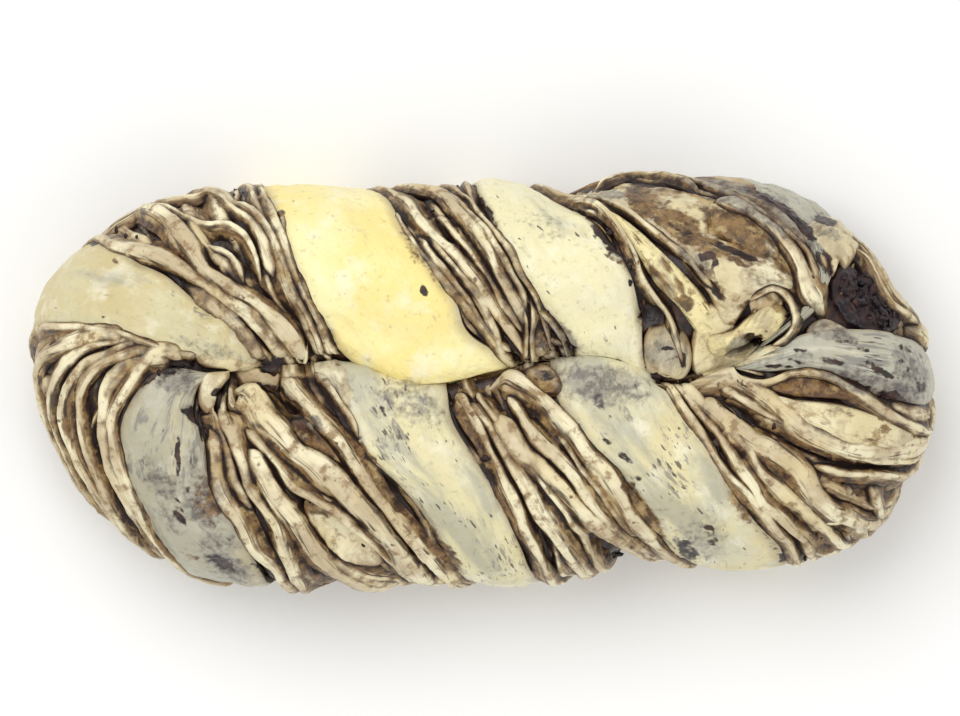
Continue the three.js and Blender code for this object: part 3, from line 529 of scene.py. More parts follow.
# Dark pockets are painted nearly black: dark filling and painted shade in the hollows.
DARK_POCKETS = [
    (696, 286, 22, 2.6, 48, 0.9, 0.5), (756, 214, 26, 5, 30, 1.0), (655, 184, 30, 4, 0, 0.9),
    (600, 226, 26, 8, 50, 1.0, 0.4), (716, 196, 22, 3.5, 14, 0.8), (785, 236, 18, 4, 42, 0.8),
    (800, 352, 12, 2.5, 15, 0.7), (830, 362, 14, 3, 10, 0.75), (860, 350, 10, 3, 20, 0.6),
    (880, 372, 16, 3, 25, 0.85), (850, 385, 20, 4, 12, 0.85), (905, 365, 12, 3, 30, 0.75),
    (890, 396, 16, 4, 15, 0.85), (820, 375, 16, 3, 8, 0.75), (790, 360, 14, 2, 10, 0.65),
    (868, 362, 8, 3, -30, 0.65), (917, 386, 10, 4, 50, 0.75), (776, 366, 16, 2, 5, 0.75),
    (842, 342, 14, 2, 5, 0.55), (903, 349, 10, 2.5, 25, 0.6), (226, 248, 17, 9, 40, 1.0, 1.6),
    (213, 307, 13, 7, 30, 1.0, 1.2), (271, 366, 8, 7, 40, 1.0, 1.4), (327, 338, 10, 8, 20, 0.5, 0.6),
    (97, 242, 6, 3, -30, 0.8), (424, 289, 7, 3.4, 62, 1.0, 0.2), (431, 213, 7, 4, 50, 0.9, 0.8),
    (454, 237, 17, 6, 45, 0.9, 1.0), (485, 211, 20, 4.5, 58, 1.0, 0.8), (496, 238, 5, 4, 40, 0.9, 0.6),
    (562, 346, 16, 4, 30, 0.7, 0.8), (610, 241, 18, 8, 56, 1.0, 0.6), (634, 268, 9, 8, 40, 1.0, 0.4),
    (583, 208, 12, 5, 40, 0.95, 0.3), (589, 217, 8, 4, 40, 0.9, 0.2), (601, 187, 26, 4, -12, 0.8),
    (652, 318, 12, 11, 30, 1.0, 2.6), (677, 324, 11, 9, 45, 1.0, 2.0), (666, 349, 7, 2.2, 5, 0.9, 0.2),
    (679, 358, 9, 3, 75, 0.9, 0.2), (704, 259, 12, 5, 15, 0.95, 0.3), (712, 266, 6, 3, -40, 0.9, 0.2),
    (703, 283, 22, 4, 46, 1.0, 0.6), (680, 231, 18, 6, 28, 0.6, 0.5), (735, 254, 30, 3, 22, 0.9, 0.6),
    (751, 342, 8, 6, -10, 1.0, 2.4), (803, 270, 17, 4, 66, 0.9, 0.6), (770, 207, 32, 9, 30, 0.85),
    (725, 189, 42, 5, 8, 0.8), (797, 226, 20, 7, 36, 0.85), (826, 222, 14, 5, 18, 0.8),
    (745, 199, 20, 4, 20, 0.65), (690, 189, 30, 3, 14, 0.8), (872, 296, 27, 22, 45, 1.0, 0.8),
    (830, 302, 9, 6, 40, 0.95, 0.8), (820, 262, 14, 7, 65, 0.85, 0.2), (893, 322, 12, 8, 30, 0.9, 0.6),
    (830, 314, 8, 3, 10, 0.5, 0.2), (58, 345, 8, 5, -20, 0.95, 0.8), (102, 385, 5, 12, 15, 0.7, 0.8),
    (134, 523, 27, 9, 52, 1.2, 1.2), (156, 374, 14, 4, -55, 1.0, 0.5), (181, 455, 20, 2.4, 90, 0.95, 0.3),
    (183, 511, 17, 2.6, 68, 1.0, 0.3), (178, 360, 20, 4, 12, 0.9, 0.6), (172, 370, 15, 8, -35, 0.62, 0.4),
    (194, 490, 10, 4, 60, 0.5, 0.1), (199, 416, 15, 5, 42, 1.0, 1.0), (207, 430, 5, 9, 0, 1.0, 0.8),
    (222, 390, 7, 5, -45, 0.9, 0.8), (262, 386, 30, 3, 6, 1.0, 0.8), (294, 400, 13, 9, 45, 1.0, 2.2),
    (222, 562, 16, 6, 25, 0.7, 0.8), (272, 571, 18, 5, 22, 0.8, 0.4), (298, 551, 3.5, 10, 5, 0.8, 0.6),
    (402, 506, 15, 8, 25, 1.0, 0.8), (418, 557, 10, 8, 40, 1.0, 0.8), (388, 481, 12, 6, 45, 0.7, 0.4),
    (385, 411, 5, 8, -20, 0.8), (502, 407, 7, 4, 0, 1.0, 0.6), (502, 436, 6, 10, -30, 1.0, 0.8),
    (490, 476, 6, 9, -40, 1.0, 0.6), (506, 476, 6, 4, 0, 1.0, 0.4), (518, 505, 3, 7, -20, 0.7, 0.2),
    (487, 380, 12, 4, -20, 0.9, 1.0), (609, 548, 27, 8, 22, 1.0, 1.6), (553, 505, 18, 6, 52, 0.6, 0.4),
    (580, 429, 4, 7, 0, 0.7), (625, 457, 4, 8, -30, 0.8), (606, 440, 5, 3, 0, 0.7), (636, 478, 5, 3, 20, 0.6),
    (634, 386, 3, 5, -10, 0.6), (708, 527, 4, 6, -20, 0.9, 0.1), (713, 541, 5, 4, 0, 0.8, 0.1),
    (685, 550, 17, 8, 45, 0.7, 0.3), (597, 402, 7, 6, 30, 0.6), (711, 416, 14, 6, 40, 0.8, 0.4),
    (730, 450, 7, 9, 20, 0.7, 0.4), (846, 465, 42, 5, 6, 0.95, 1.2), (826, 484, 12, 5, 45, 0.8, 0.6),
    (851, 494, 6, 9, 15, 0.9, 0.6), (885, 492, 7, 8, 20, 0.8, 0.4), (833, 529, 18, 6, -8, 1.0, 1.2),
    (812, 562, 16, 6, 0, 0.8, 0.4), (782, 556, 9, 5, 20, 0.8, 0.3), (912, 414, 12, 9, 30, 0.85, 0.2),
    (766, 374, 22, 3, -4, 0.8, 0.4), (862, 392, 36, 5, 22, 0.65, 0.4), (672, 382, 22, 3.5, 12, 0.9, 1.2),
    (792, 510, 20, 5, 40, 0.6, 0.4), (545, 372, 12, 5, 10, 0.6, 0.5),
]

BROWN_FACES = [
    (724, 258, 36, 5, 18, 0.8), (715, 292, 12, 5, 50, 0.7), (668, 222, 20, 14, 30, 0.5),
    (780, 268, 14, 8, 50, 0.7), (30, 398, 6, 30, 0, 0.9, 0.3), (48, 430, 5, 26, -18, 0.8, 0.3),
    (300, 332, 10, 18, -30, 0.8, 0.3), (436, 248, 6, 26, -30, 0.8, 0.3), (757, 280, 22, 6, 30, 0.5),
    (742, 305, 8, 4, -20, 0.7), (748, 216, 30, 5, 32, 0.6), (338, 524, 36, 17, 46, 0.0, 2.4),
    (664, 266, 12, 7, 50, 0.55), (674, 286, 14, 7, 50, 0.62), (650, 258, 8, 5, 45, 0.55),
    (635, 240, 5, 6, 0, 0.8), (314, 506, 9, 9, 40, 0.8, 0.3), (342, 540, 12, 5, 45, 0.45),
    (262, 414, 10, 3, 30, 0.7, 0.2), (250, 402, 6, 4, 0, 0.55, 0.1), (276, 410, 5, 3, 20, 0.6),
    (148, 233, 22, 11, 25, 1.6, 0.8), (180, 254, 22, 5, 30, 0.9, 0.6), (247, 318, 18, 10, 42, 1.4, 0.4),
    (216, 262, 30, 5, 42, 1.0, 0.4), (266, 262, 8, 26, -20, 0.9, 0.3), (290, 300, 7, 30, -22, 0.9, 0.3),
    (262, 344, 18, 9, 45, 0.7, 0.2), (283, 214, 4, 4, 0, 0.8), (232, 194, 18, 6, 15, 0.8, 0.2),
    (194, 206, 8, 6, 10, 0.7), (198, 268, 14, 8, 40, 0.4), (422, 258, 40, 7, 50, 0.55, 0.2),
    (474, 304, 22, 8, 55, 0.95, 0.5), (512, 340, 16, 12, 45, 0.5, 0.4), (517, 222, 6, 7, 20, 0.45),
    (525, 285, 20, 6, 56, 0.8, 0.2), (658, 282, 26, 7, 50, 0.62), (617, 262, 14, 5, 45, 0.7),
    (641, 202, 21, 16, 60, 1.0, 0.2), (677, 226, 25, 15, 35, 1.1, 0.5), (694, 240, 24, 6, 16, 1.0, 0.3),
    (655, 192, 34, 4, 2, 0.7), (736, 235, 40, 17, 36, 1.1, 0.2), (775, 305, 15, 6, 30, 0.8, 0.4),
    (772, 284, 16, 8, 25, 0.5), (837, 296, 6, 15, 10, 0.95, 0.2), (832, 315, 10, 5, 10, 0.8, 0.2),
    (903, 318, 26, 6, 56, 0.8, 0.2), (876, 272, 24, 5, 55, 0.5), (33, 380, 7, 24, 0, 0.9, 0.4),
    (80, 400, 6, 34, 4, 1.3, 0.4), (66, 430, 5, 26, -10, 1.0, 0.3), (99, 420, 11, 46, -6, 1.5, 0.8),
    (115, 477, 11, 32, -26, 1.5, 0.8), (112, 372, 20, 5, -35, 0.6, 0.2), (60, 366, 8, 5, -50, 0.6, 0.2),
    (128, 398, 12, 20, 10, 0.35), (212, 500, 16, 24, -25, 0.62), (192, 556, 10, 5, 20, 0.5),
    (254, 514, 28, 7, 52, 1.0, 0.6), (244, 470, 20, 5, 55, 0.8, 0.5), (262, 500, 26, 4, 52, 0.8, 0.4),
    (318, 563, 26, 8, 18, 0.95, 0.6), (304, 436, 14, 8, 32, 1.0, 1.0), (331, 452, 22, 10, 42, 0.8, 0.8),
    (305, 492, 20, 6, 38, 0.8, 0.6), (322, 508, 16, 7, 40, 0.75, 1.2), (280, 448, 16, 4, 48, 0.7, 0.5),
    (334, 402, 34, 6, 52, 0.9, 0.4), (370, 458, 36, 7, 52, 0.95, 0.4), (436, 543, 38, 9, 50, 0.95, 0.4),
    (360, 488, 30, 4, 48, 0.6, 0.4), (484, 442, 46, 5, 56, 0.7, 0.3), (535, 416, 26, 8, 42, 0.8, 0.6),
    (567, 447, 30, 6, 48, 0.9, 0.5), (600, 482, 26, 6, 50, 0.6, 0.4), (640, 509, 34, 10, 54, 0.8, 0.3),
    (626, 487, 7, 7, 40, 0.9, 0.2), (540, 382, 16, 8, 18, 1.0, 1.0), (600, 512, 16, 5, 45, 0.8, 0.4),
    (636, 536, 20, 5, 40, 0.85, 0.3), (548, 498, 14, 7, 50, 0.9, 0.5), (553, 560, 24, 4, 52, 0.6, 0.2),
    (803, 386, 42, 8, 4, 1.0, 0.8), (722, 392, 6, 16, -8, 0.8), (762, 431, 16, 6, 35, 0.9, 0.5),
    (742, 504, 12, 22, -35, 0.8, 0.3), (788, 503, 34, 9, 40, 0.85, 0.5), (778, 468, 34, 7, 42, 0.9, 0.5),
    (735, 447, 10, 14, -25, 0.8, 0.4), (852, 494, 8, 11, 10, 0.9, 0.4), (832, 410, 12, 5, 20, 0.5),
    (882, 428, 6, 6, 0, 0.7), (815, 560, 24, 9, -10, 0.8, 0.2), (820, 540, 22, 8, 0, 0.6, 0.2),
]

GREY_VEILS = [
    (826, 332, 26, 10, 15, 1.0), (690, 262, 24, 9, 45, 0.9), (664, 350, 24, 22, 0, 0.85),
    (720, 192, 56, 10, 10, 1.4), (778, 220, 40, 13, 38, 1.4), (610, 196, 30, 5, -8, 0.9),
    (222, 545, 22, 22, 20, 0.7), (168, 508, 16, 18, 50, 0.5), (180, 376, 20, 15, 0, 1.3),
    (166, 480, 22, 14, 30, 0.85), (208, 502, 22, 24, -20, 1.0), (196, 462, 10, 18, 0, 0.8),
    (150, 462, 12, 10, 0, 0.6), (180, 524, 16, 10, 40, 0.7), (228, 566, 26, 12, 20, 1.0),
    (410, 402, 40, 22, 25, 0.7), (395, 440, 20, 16, 40, 0.4), (600, 385, 46, 22, 8, 0.95),
    (700, 535, 26, 22, 30, 0.6), (660, 520, 22, 18, 40, 0.35), (553, 340, 28, 16, 30, 1.1),
    (336, 386, 30, 22, 50, 0.55), (316, 422, 9, 8, 0, 1.2), (545, 228, 26, 14, 30, 0.5),
    (600, 350, 30, 12, 30, 0.3), (215, 350, 40, 10, 15, 0.6), (738, 346, 16, 8, -20, 1.3),
    (760, 210, 44, 16, 28, 1.1), (700, 186, 40, 8, 5, 0.9), (820, 228, 24, 8, 25, 0.8),
    (870, 386, 52, 12, 14, 1.15), (908, 368, 26, 16, 50, 0.9), (780, 360, 40, 10, -5, 0.6),
    (440, 560, 20, 14, 40, 0.3), (500, 560, 26, 14, 40, 0.35),
]

# Small brown blots that lie over everything, also over the crests of ridges.
BLOTS = [
    (283, 214, 4, 4, 0, 0.9), (683, 303, 8, 7, 30, 1.0), (704, 302, 4, 5, 0, 0.9), (882, 428, 6, 5, 0, 0.7),
    (626, 488, 7, 6, 40, 0.9), (517, 222, 6, 6, 20, 0.5), (719, 392, 5, 15, -10, 0.8),
    (120, 262, 3, 3, 0, 0.6), (640, 262, 4, 5, 0, 0.7), (648, 284, 4, 8, -30, 0.5),
    (661, 274, 4, 8, -30, 0.5), (668, 292, 4, 9, -35, 0.6), (741, 316, 20, 3, -28, 0.6),
    (770, 300, 5, 4, 0, 0.6), (316, 436, 4, 4, 0, 0.6), (345, 446, 3, 4, 0, 0.7), (352, 470, 3, 4, 0, 0.6),
    (330, 476, 3, 3, 0, 0.5), (276, 470, 4, 3, 0, 0.7), (262, 462, 3, 3, 0, 0.6), (250, 455, 3, 4, 0, 0.6),
    (395, 528, 4, 3, 0, 0.5), (820, 420, 8, 3, 20, 0.5), (846, 414, 6, 3, 10, 0.5), (866, 441, 7, 3, 5, 0.6),
    (798, 441, 5, 3, 20, 0.5), (745, 452, 4, 4, 0, 0.6), (562, 410, 4, 4, 0, 0.5), (596, 462, 4, 5, 0, 0.5),
    (505, 460, 4, 4, 0, 0.5), (96, 398, 3, 4, 0, 0.5), (90, 440, 3, 4, 0, 0.5), (66, 420, 2, 5, 0, 0.5),
]

MARKS_FROM = 8.0       # no mark shows below this height over the floor, and all show MARKS_FADE higher up
MARKS_FADE = 10.0
RAGGED_FROM = 5        # marks of a smaller half width, in pixels, are less ragged
MARK_EDGE = 1.55       # how far out a mark ends, as a share of its half length and half width


def ragged_places(points):
    """The points with how far each wanders, so that marks get ragged outlines, and their order in x."""
    wander_x = 0.75 * bumps(points, 2.4, 5.1) + 0.3 * bumps(points, 0.8, 8.1, 1)
    wander_y = 0.75 * bumps(points, 2.4, 6.2) + 0.3 * bumps(points, 0.8, 9.2, 1)
    above = smooth((points[:, 2] - MARKS_FROM) / MARKS_FADE)
    order = np.argsort(points[:, 0])
    return points, wander_x, wander_y, above, order, points[order, 0]


def marked(places, marks):
    """How strongly the marks cover each place, and how far they sink it."""
    points, wander_x, wander_y, above, order, in_order = places
    cover = np.zeros(len(order))
    sink = np.zeros(len(order))
    for x, y, half_length, half_width, turn, strength, *depth in marks:
        cx, cy = seen(x, y)
        far = 1.6 * max(half_length, half_width) * MM_PER_PIXEL + 1
        first, last = np.searchsorted(in_order, (cx - far, cx + far))
        near = order[first:last]
        if not len(near):
            continue
        ragged = min(1.0, half_width / RAGGED_FROM)
        along, across = turned(points[near, 0] + ragged * wander_x[near] - cx,
                               points[near, 1] + ragged * wander_y[near] - cy, -turn)
        along /= half_length * MM_PER_PIXEL
        across /= half_width * MM_PER_PIXEL
        share = smooth(MARK_EDGE - np.sqrt(along ** 2 + across ** 2)) * above[near]
        cover[near] = np.maximum(cover[near], share * strength)
        sink[near] = np.maximum(sink[near], share * sum(depth))
    return cover, sink


# ---- Shaping -------------------------------------------------------------------------------------------

FLOOR_CLEARANCE = 0.15   # the layers stop this far above the flat base of the core
TUBE_TOP = 0.72          # the share of a tube's sides that are on top
CUSHION_TOP = 0.7        # the share of a cushion's rings that are on top, and the rest
CUSHION_UNDER = 0.3
SEAM_PULL = 1.1          # how far the legs are pulled together at the seam, and how far out that reaches
PULL_REACH = 4.0
SEAM_OVERLAP = 0.15
SEAM_FILL = 5.0          # how far the valley between the legs is filled, and how far out that reaches
FILL_REACH = 6.5
FILL_FROM = 20
FILL_FADE = 8
SEAM_DIVE = 0.2          # the angle by which bands dive into the seam, over the first stretch of their way
SEAM_STRETCH = 0.035
SIDE_START = 0.45        # a ridge that ends nearer to the widest line than this angle goes on down the side
STEEPEST = 45
COURSE_STEPS = 15
SIDE_PLACES = 40
ROUTE_RINGS = 200
ROOT = 2.4               # how far layers and ridges reach down into the loaf
CREST_FALL = 0.22        # the share of its height that a leaf loses over its crest, and of its paleness
CREST_SHADE = 0.28
BAND_LENGTH = 95.0       # a band's usual length from the seam to the base
POCKET_ON_CREST = 0.15   # the share of a pocket's depth that crests follow
SEED_ROOM = 7.31
SCATTER = 43758.5453


def as_blank(bm):
    """Turns a bmesh into a mesh that is shaped by moving its vertices, and gives their places."""
    mesh = bpy.data.meshes.new("blank")
    bm.to_mesh(mesh)
    bm.free()
    co = np.zeros(len(mesh.vertices) * 3)
    mesh.vertices.foreach_get("co", co)
    return mesh, co.reshape(-1, 3)


def blank_tube(sides, rings):
    """A closed tube of rings, mostly on top, with each vertex's turn and its way from 0 to 1."""
    bm = bmesh.new()
    bmesh.ops.create_cone(bm, cap_ends=True, segments=sides, radius1=1, radius2=1, depth=1)
    upright = [e for e in bm.edges if abs(e.verts[0].co.z - e.verts[1].co.z) > 0.5]
    bmesh.ops.subdivide_edges(bm, edges=upright, cuts=rings - 2, use_grid_fill=True)
    bmesh.ops.translate(bm, verts=bm.verts, vec=(0, 0, 0.5))
    bmesh.ops.recalc_face_normals(bm, faces=bm.faces)
    mesh, co = as_blank(bm)
    share = np.mod(np.arctan2(co[:, 1], co[:, 0]) / (2 * math.pi), 1)
    turn = np.where(share < TUBE_TOP, share / TUBE_TOP, 1 + (share - TUBE_TOP) / (1 - TUBE_TOP)) * math.pi
    return mesh, turn, co[:, 2]


def blank_ball(around, down):
    """A closed ball, with each vertex's turn and how far it lies from the top (0) to the bottom (1)."""
    bm = bmesh.new()
    bmesh.ops.create_uvsphere(bm, u_segments=around, v_segments=down, radius=1)
    bmesh.ops.recalc_face_normals(bm, faces=bm.faces)
    mesh, co = as_blank(bm)
    return mesh, np.arctan2(co[:, 1], co[:, 0]), np.arccos(np.clip(co[:, 2], -1, 1)) / math.pi


def blank_cushion(around, down):
    """A closed cushion, with each vertex's turn, how far out it lies and whether it is on top."""
    mesh, turn, fall = blank_ball(around, down)
    on_top = fall < CUSHION_TOP
    return mesh, turn, np.where(on_top, fall / CUSHION_TOP, (1 - fall) / CUSHION_UNDER), on_top


def lattice(cells, seed):
    value = np.sin(cells @ np.array([127.1, 311.7, 74.7]) + seed * 53.3) * SCATTER
    return 2 * (value - np.floor(value)) - 1


def bumps(points, size, seed, depth=2):
    """Smooth uneven values between about -1 and 1, with features of that size in millimetres."""
    total = np.zeros(len(points))
    for octave in range(depth):
        at = points / size * 2 ** octave + seed * 7.13 + octave * 19.7
        cell = np.floor(at)
        share = at - cell
        share = share * share * (3 - 2 * share)
        sides = (1 - share, share)
        for i, j, k in np.ndindex(2, 2, 2):
            weight = sides[i][:, 0] * sides[j][:, 1] * sides[k][:, 2]
            total += weight * lattice(cell + np.array((i, j, k)), seed) / 2 ** octave
    return total


def wave(way, seed, turns):
    """A slow wandering value between about -1 and 1 along a strip."""
    first = math.sin(seed * 12.9898) * 43.7
    second = math.sin(seed * 78.233) * 29.3
    return 0.6 * np.sin(way * turns * 6.28 + first) + 0.4 * np.sin(way * turns * 14.1 + second)


def closed_seam(points):
    """Pulls the legs together at the seam and fills the valley between them a little, as soft dough does."""
    dx = points[..., 0] - np.clip(points[..., 0], -LEG / 2, LEG / 2)
    dy = points[..., 1] - SEAM_Y - seam_wander(points[..., 0])
    far = np.maximum(np.hypot(dx, dy), 0.01)
    pull = np.minimum(SEAM_PULL * np.exp(-(far / PULL_REACH) ** 2), far + SEAM_OVERLAP)
    rise = SEAM_FILL * np.exp(-(far / FILL_REACH) ** 2) * smooth((points[..., 2] - FILL_FROM) / FILL_FADE)
    return points + np.stack([-dx / far * pull, -dy / far * pull, rise], axis=-1)


def on_loaf(run, angle, lift):
    """A point at a height over the loaf, with the loaf's lumps."""
    points = loaf_point(run, angle)
    rise = lump_rise(points)
    return closed_seam(points + loaf_normal(run, angle) * np.asarray(lift + rise)[..., None])


def into_seam(run, angle, way):
    """Lets the first stretch of a band dive into the seam between the legs."""
    return run, angle + SEAM_DIVE * smooth(1 - way / SEAM_STRETCH)


def settled(points, normals, crest, on_crest):
    """Sinks the points into the pockets that they lie over, crests only by a share, and returns them with the
    marks' attributes. Crests stay clear of most marks."""
    below = 1 - smooth((crest - 0.5) / 0.28)
    places = ragged_places(points)
    dark, dark_sink = marked(places, DARK_POCKETS)
    brown, brown_sink = marked(places, BROWN_FACES)
    blot, _ = marked(places, BLOTS)
    grey, _ = marked(places, GREY_VEILS)
    sink = np.maximum(dark_sink, brown_sink) * (on_crest + (1 - on_crest) * below)
    points = points - normals * sink[:, None]
    points[:, 2] = np.maximum(points[:, 2], FLOOR_CLEARANCE)
    return points, {"dark": dark * below, "brown": np.maximum(brown * below, blot), "grey": grey}


def laid(run, angle, height, swell, crest, on_crest=POCKET_ON_CREST):
    """Points at a height over the loaf, swollen unevenly and sunk into the pockets, with their marks."""
    points = on_loaf(run, angle, height)
    normals = loaf_normal(run, angle)
    points += normals * swell(points)[:, None]
    return settled(points, normals, crest, on_crest)


def skin(across, along, seed, height, pale, marks):
    """The attributes that the materials of layers and folds read."""
    return {"across": across * MM, "along": along * MM, "seed": np.full(len(across), seed % SEED_ROOM),
            "height": height, "pale": np.full(len(across), pale), **marks}


def set_attribute(mesh, name, values):
    mesh.attributes.new(name, "FLOAT", "POINT").data.foreach_set("value", np.asarray(values, np.float32))


# Every finished piece with its points' places on the plain loaf and their heights over it.
LAID = []


def finished(name, parts, material):
    """Joins shaped blanks into one piece. Each part is (blank mesh, points, attributes, places)."""
    bm = bmesh.new()
    for blank, _, _, _ in parts:
        bm.from_mesh(blank)
    mesh = bpy.data.meshes.new(name)
    bm.to_mesh(mesh)
    bm.free()
    points = np.concatenate([points for _, points, _, _ in parts])
    points[:, 2] = np.maximum(points[:, 2], 0.0)
    mesh.vertices.foreach_set("co", (points * MM).astype(np.float32).ravel())
    for key in parts[0][2]:
        set_attribute(mesh, key, np.concatenate([attributes[key] for _, _, attributes, _ in parts]))
    mesh.update()
    piece = bpy.data.objects.new(name, mesh)
    bpy.context.scene.collection.objects.link(piece)
    mesh.shade_smooth()
    mesh.materials.append(material)
    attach(piece, "root")
    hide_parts("loaf")
    run, angle = (np.concatenate([places[i] for _, _, _, places in parts]) for i in (0, 1))
    under = on_loaf(run, angle, 0.0)
    LAID.append((mesh, under, ((points - under) * loaf_normal(run, angle)).sum(1)))


GROOVE_CELL = 0.6
GROOVE_MARGIN = 4
NOTHING = -99.0


def find_grooves():
    """Gives each piece its "groove": how far each point lies below the surface around it, in millimetres. The
    materials paint shade in the grooves from it.
    """
    every = np.concatenate([under for _, under, _ in LAID])
    lifts = np.concatenate([lift for _, _, lift in LAID])
    low = every.min(0) - GROOVE_MARGIN * GROOVE_CELL
    cells = np.round((every - low) / GROOVE_CELL).astype(int)
    order = np.argsort(lifts)
    top = np.full(tuple(cells.max(0) + GROOVE_MARGIN + 1), NOTHING)
    top[tuple(cells[order].T)] = lifts[order]
    known = (top > NOTHING).astype(float)
    total = np.where(known > 0, top, 0)
    for axis in 2 * (0, 1, 2):
        total = total + np.roll(total, 1, axis) + np.roll(total, -1, axis)
        known = known + np.roll(known, 1, axis) + np.roll(known, -1, axis)
    around = total / np.maximum(known, 1)
    for mesh, under, lift in LAID:
        at = (under - low) / GROOVE_CELL
        cell = np.floor(at).astype(int)
        share = at - cell
        level = np.zeros(len(at))
        weight = np.zeros(len(at))
        for corner in np.ndindex(2, 2, 2):
            place = tuple((cell + np.array(corner)).T)
            part = np.prod(np.where(corner, share, 1 - share), axis=1) * (known[place] > 0)
            level += part * around[place]
            weight += part
        set_attribute(mesh, "groove", level / np.maximum(weight, 1e-6) - lift)


# ---- Layers, ridges and sheets -------------------------------------------------------------------------

def leaf_profile(turn, crest_part, crest, skew):
    """A leaf of dough seen end on: a rounded crest, off the middle by skew, flanks that fall away on both
    sides, and what lies below. Gives the place across (-1 to 1), the height and the crest share (1 on the
    crest, 0 at the edge)."""
    cosine, sine = np.cos(turn), np.sin(turn)
    x = np.sign(cosine) * np.abs(cosine) ** 0.9
    far = np.where(x < skew, (skew - x) / (skew + 1), (x - skew) / (1 - skew))
    on_crest = far < crest_part
    over_crest = (far / np.maximum(crest_part, 0.01)) ** 2
    up_flank = 1 - np.clip((far - crest_part) / (1 - crest_part), 0, 1)
    share = np.where(on_crest, 1 - CREST_SHADE * over_crest, (1 - CREST_SHADE) * up_flank)
    high = np.where(on_crest, 1 - CREST_FALL * over_crest, (1 - CREST_FALL) * up_flank ** 1.25)
    y = np.where(sine > 0, crest * high, -ROOT * np.abs(sine))
    # The crest share also sets the layers' colour: darkest at the edge and beneath, where part of it is
    # painted shade.
    return x, y, np.where(sine > 0, share, -0.4 * np.abs(sine))


def strip(band, blank, share, half_share, lift, seed, pale, lean, start):
    """One leaf of dough over a band: where it lies across the band, how wide and how high."""
    mesh, turn, way = blank
    way = start + (1 - start) * way
    crest_part = 0.28 * (1 + 0.4 * wave(way, seed + 0.4, 2.0))
    skew = 0.55 * math.sin(seed * 91.7) + 0.15 * wave(way, seed + 0.2, 3.0)
    x, y, crest = leaf_profile(turn, crest_part, 1.9, skew)
    narrow = 1 + 0.25 * wave(way, seed + 0.3, 2.3)
    over = share + half_share * (0.35 * wave(way, seed, 1.5) + narrow * x * (1 + lean * x))
    height = lift + 0.5 * wave(way, seed + 0.7, 2.0) - ROOT * (1 - smooth((way - start) / 0.1)) * (start > 0)
    run, angle = into_seam(*band_place(band, over, way), way)
    points, marks = laid(run, angle, height + y, lambda at: 0.25 * bumps(at, 2.2, seed), crest, 1.0)
    return mesh, points, skin(x * 2.5, way * BAND_LENGTH, seed, crest, pale, marks), (run, angle)


# How pale the layers of a band are, and how far along its way they rise out of the loaf.
PALENESS = {"back_brown_face": -1.8, "end_cream": -0.9, "end_crust": -1.1, "top_arcs": -1.4,
            "right_fan_front": -0.3, "back_middle_layers": 0.5}
LATE_START = {"left_fan": 0.2, "back_right_layers": 0.42, "back_brown_face": 0.3, "end_crust": 0.3,
              "end_cream": 0.3}


def chance(seed, factor, start):
    """A value between 0 and 1 that depends on the seed alone."""
    return math.sin(seed * factor + start) * SCATTER % 1


def layers(group, bands, blank, material):
    """The thin layers of some bands. Each has its own place, width, height and paleness."""
    parts = []
    for name in bands:
        band = NAMES.index(name)
        _, count, rise, _ = BANDS[band]
        for layer in range(count):
            seed = band * 40 + layer + 0.5
            shift = chance(seed, 127.1, 311.7) - 0.5
            look = chance(seed, 269.5, 183.3)
            share = (layer + 0.5 + 0.5 * shift) / count
            half_share = (0.85 + 0.5 * look) / count
            lift = rise - 1.7 + 1.3 * shift
            pale = -0.9 + 1.1 * look + PALENESS.get(name, 0.0)
            parts.append(strip(band, blank, share, half_share, lift, seed, pale, 0.5 * (look - 0.5),
                               LATE_START.get(name, 0.0)))
    finished(group, parts, material)


def side_steps(run, angle):
    """The change of place that moves each ring's points sideways from a route by one millimetre."""
    with_run, with_angle = slopes(run, angle)
    e_run = with_run / (2 * SLOPE_STEP * TURN)
    e_angle = with_angle / (2 * SLOPE_STEP)
    tangent = np.gradient(loaf_point(run, angle), axis=0)
    tangent /= np.maximum(np.linalg.norm(tangent, axis=1, keepdims=True), 1e-9)
    side = np.cross(tangent, loaf_normal(run, angle))
    a = (e_run * e_run).sum(1)
    b = (e_run * e_angle).sum(1)
    c = (e_angle * e_angle).sum(1)
    p = (e_run * side).sum(1)
    q = (e_angle * side).sum(1)
    level = np.maximum(a * c - b * b, 1e-6)
    return (p * c - q * b) / level, (q * a - p * b) / level


def ridge_route(course, on_back):
    """A ridge's course as evenly spaced places, carried on down the side where it reaches the side."""
    fine = curve_through(route_under([seen(x, y) for x, y in course], on_back), COURSE_STEPS)
    if fine[-1, 1] < min(SIDE_START, fine[:, 1].min() + 0.1):
        share = np.linspace(0, 1, SIDE_PLACES)[1:]
        before, end = fine[-8], fine[-1]
        slope = np.clip((end[0] - before[0]) / max(before[1] - end[1], 0.05), -10, STEEPEST)
        drop = end[1] + BASE_ANGLE
        drift = slope * drop * share * (1 - share) ** 2 + SIDE_DRIFT * share ** 1.5
        fine = np.concatenate([fine, np.stack([end[0] + drift, end[1] - drop * share], axis=1)])
    route, length = evenly_spaced(fine, ROUTE_RINGS)
    return route, length, fine[-1, 1] < 0


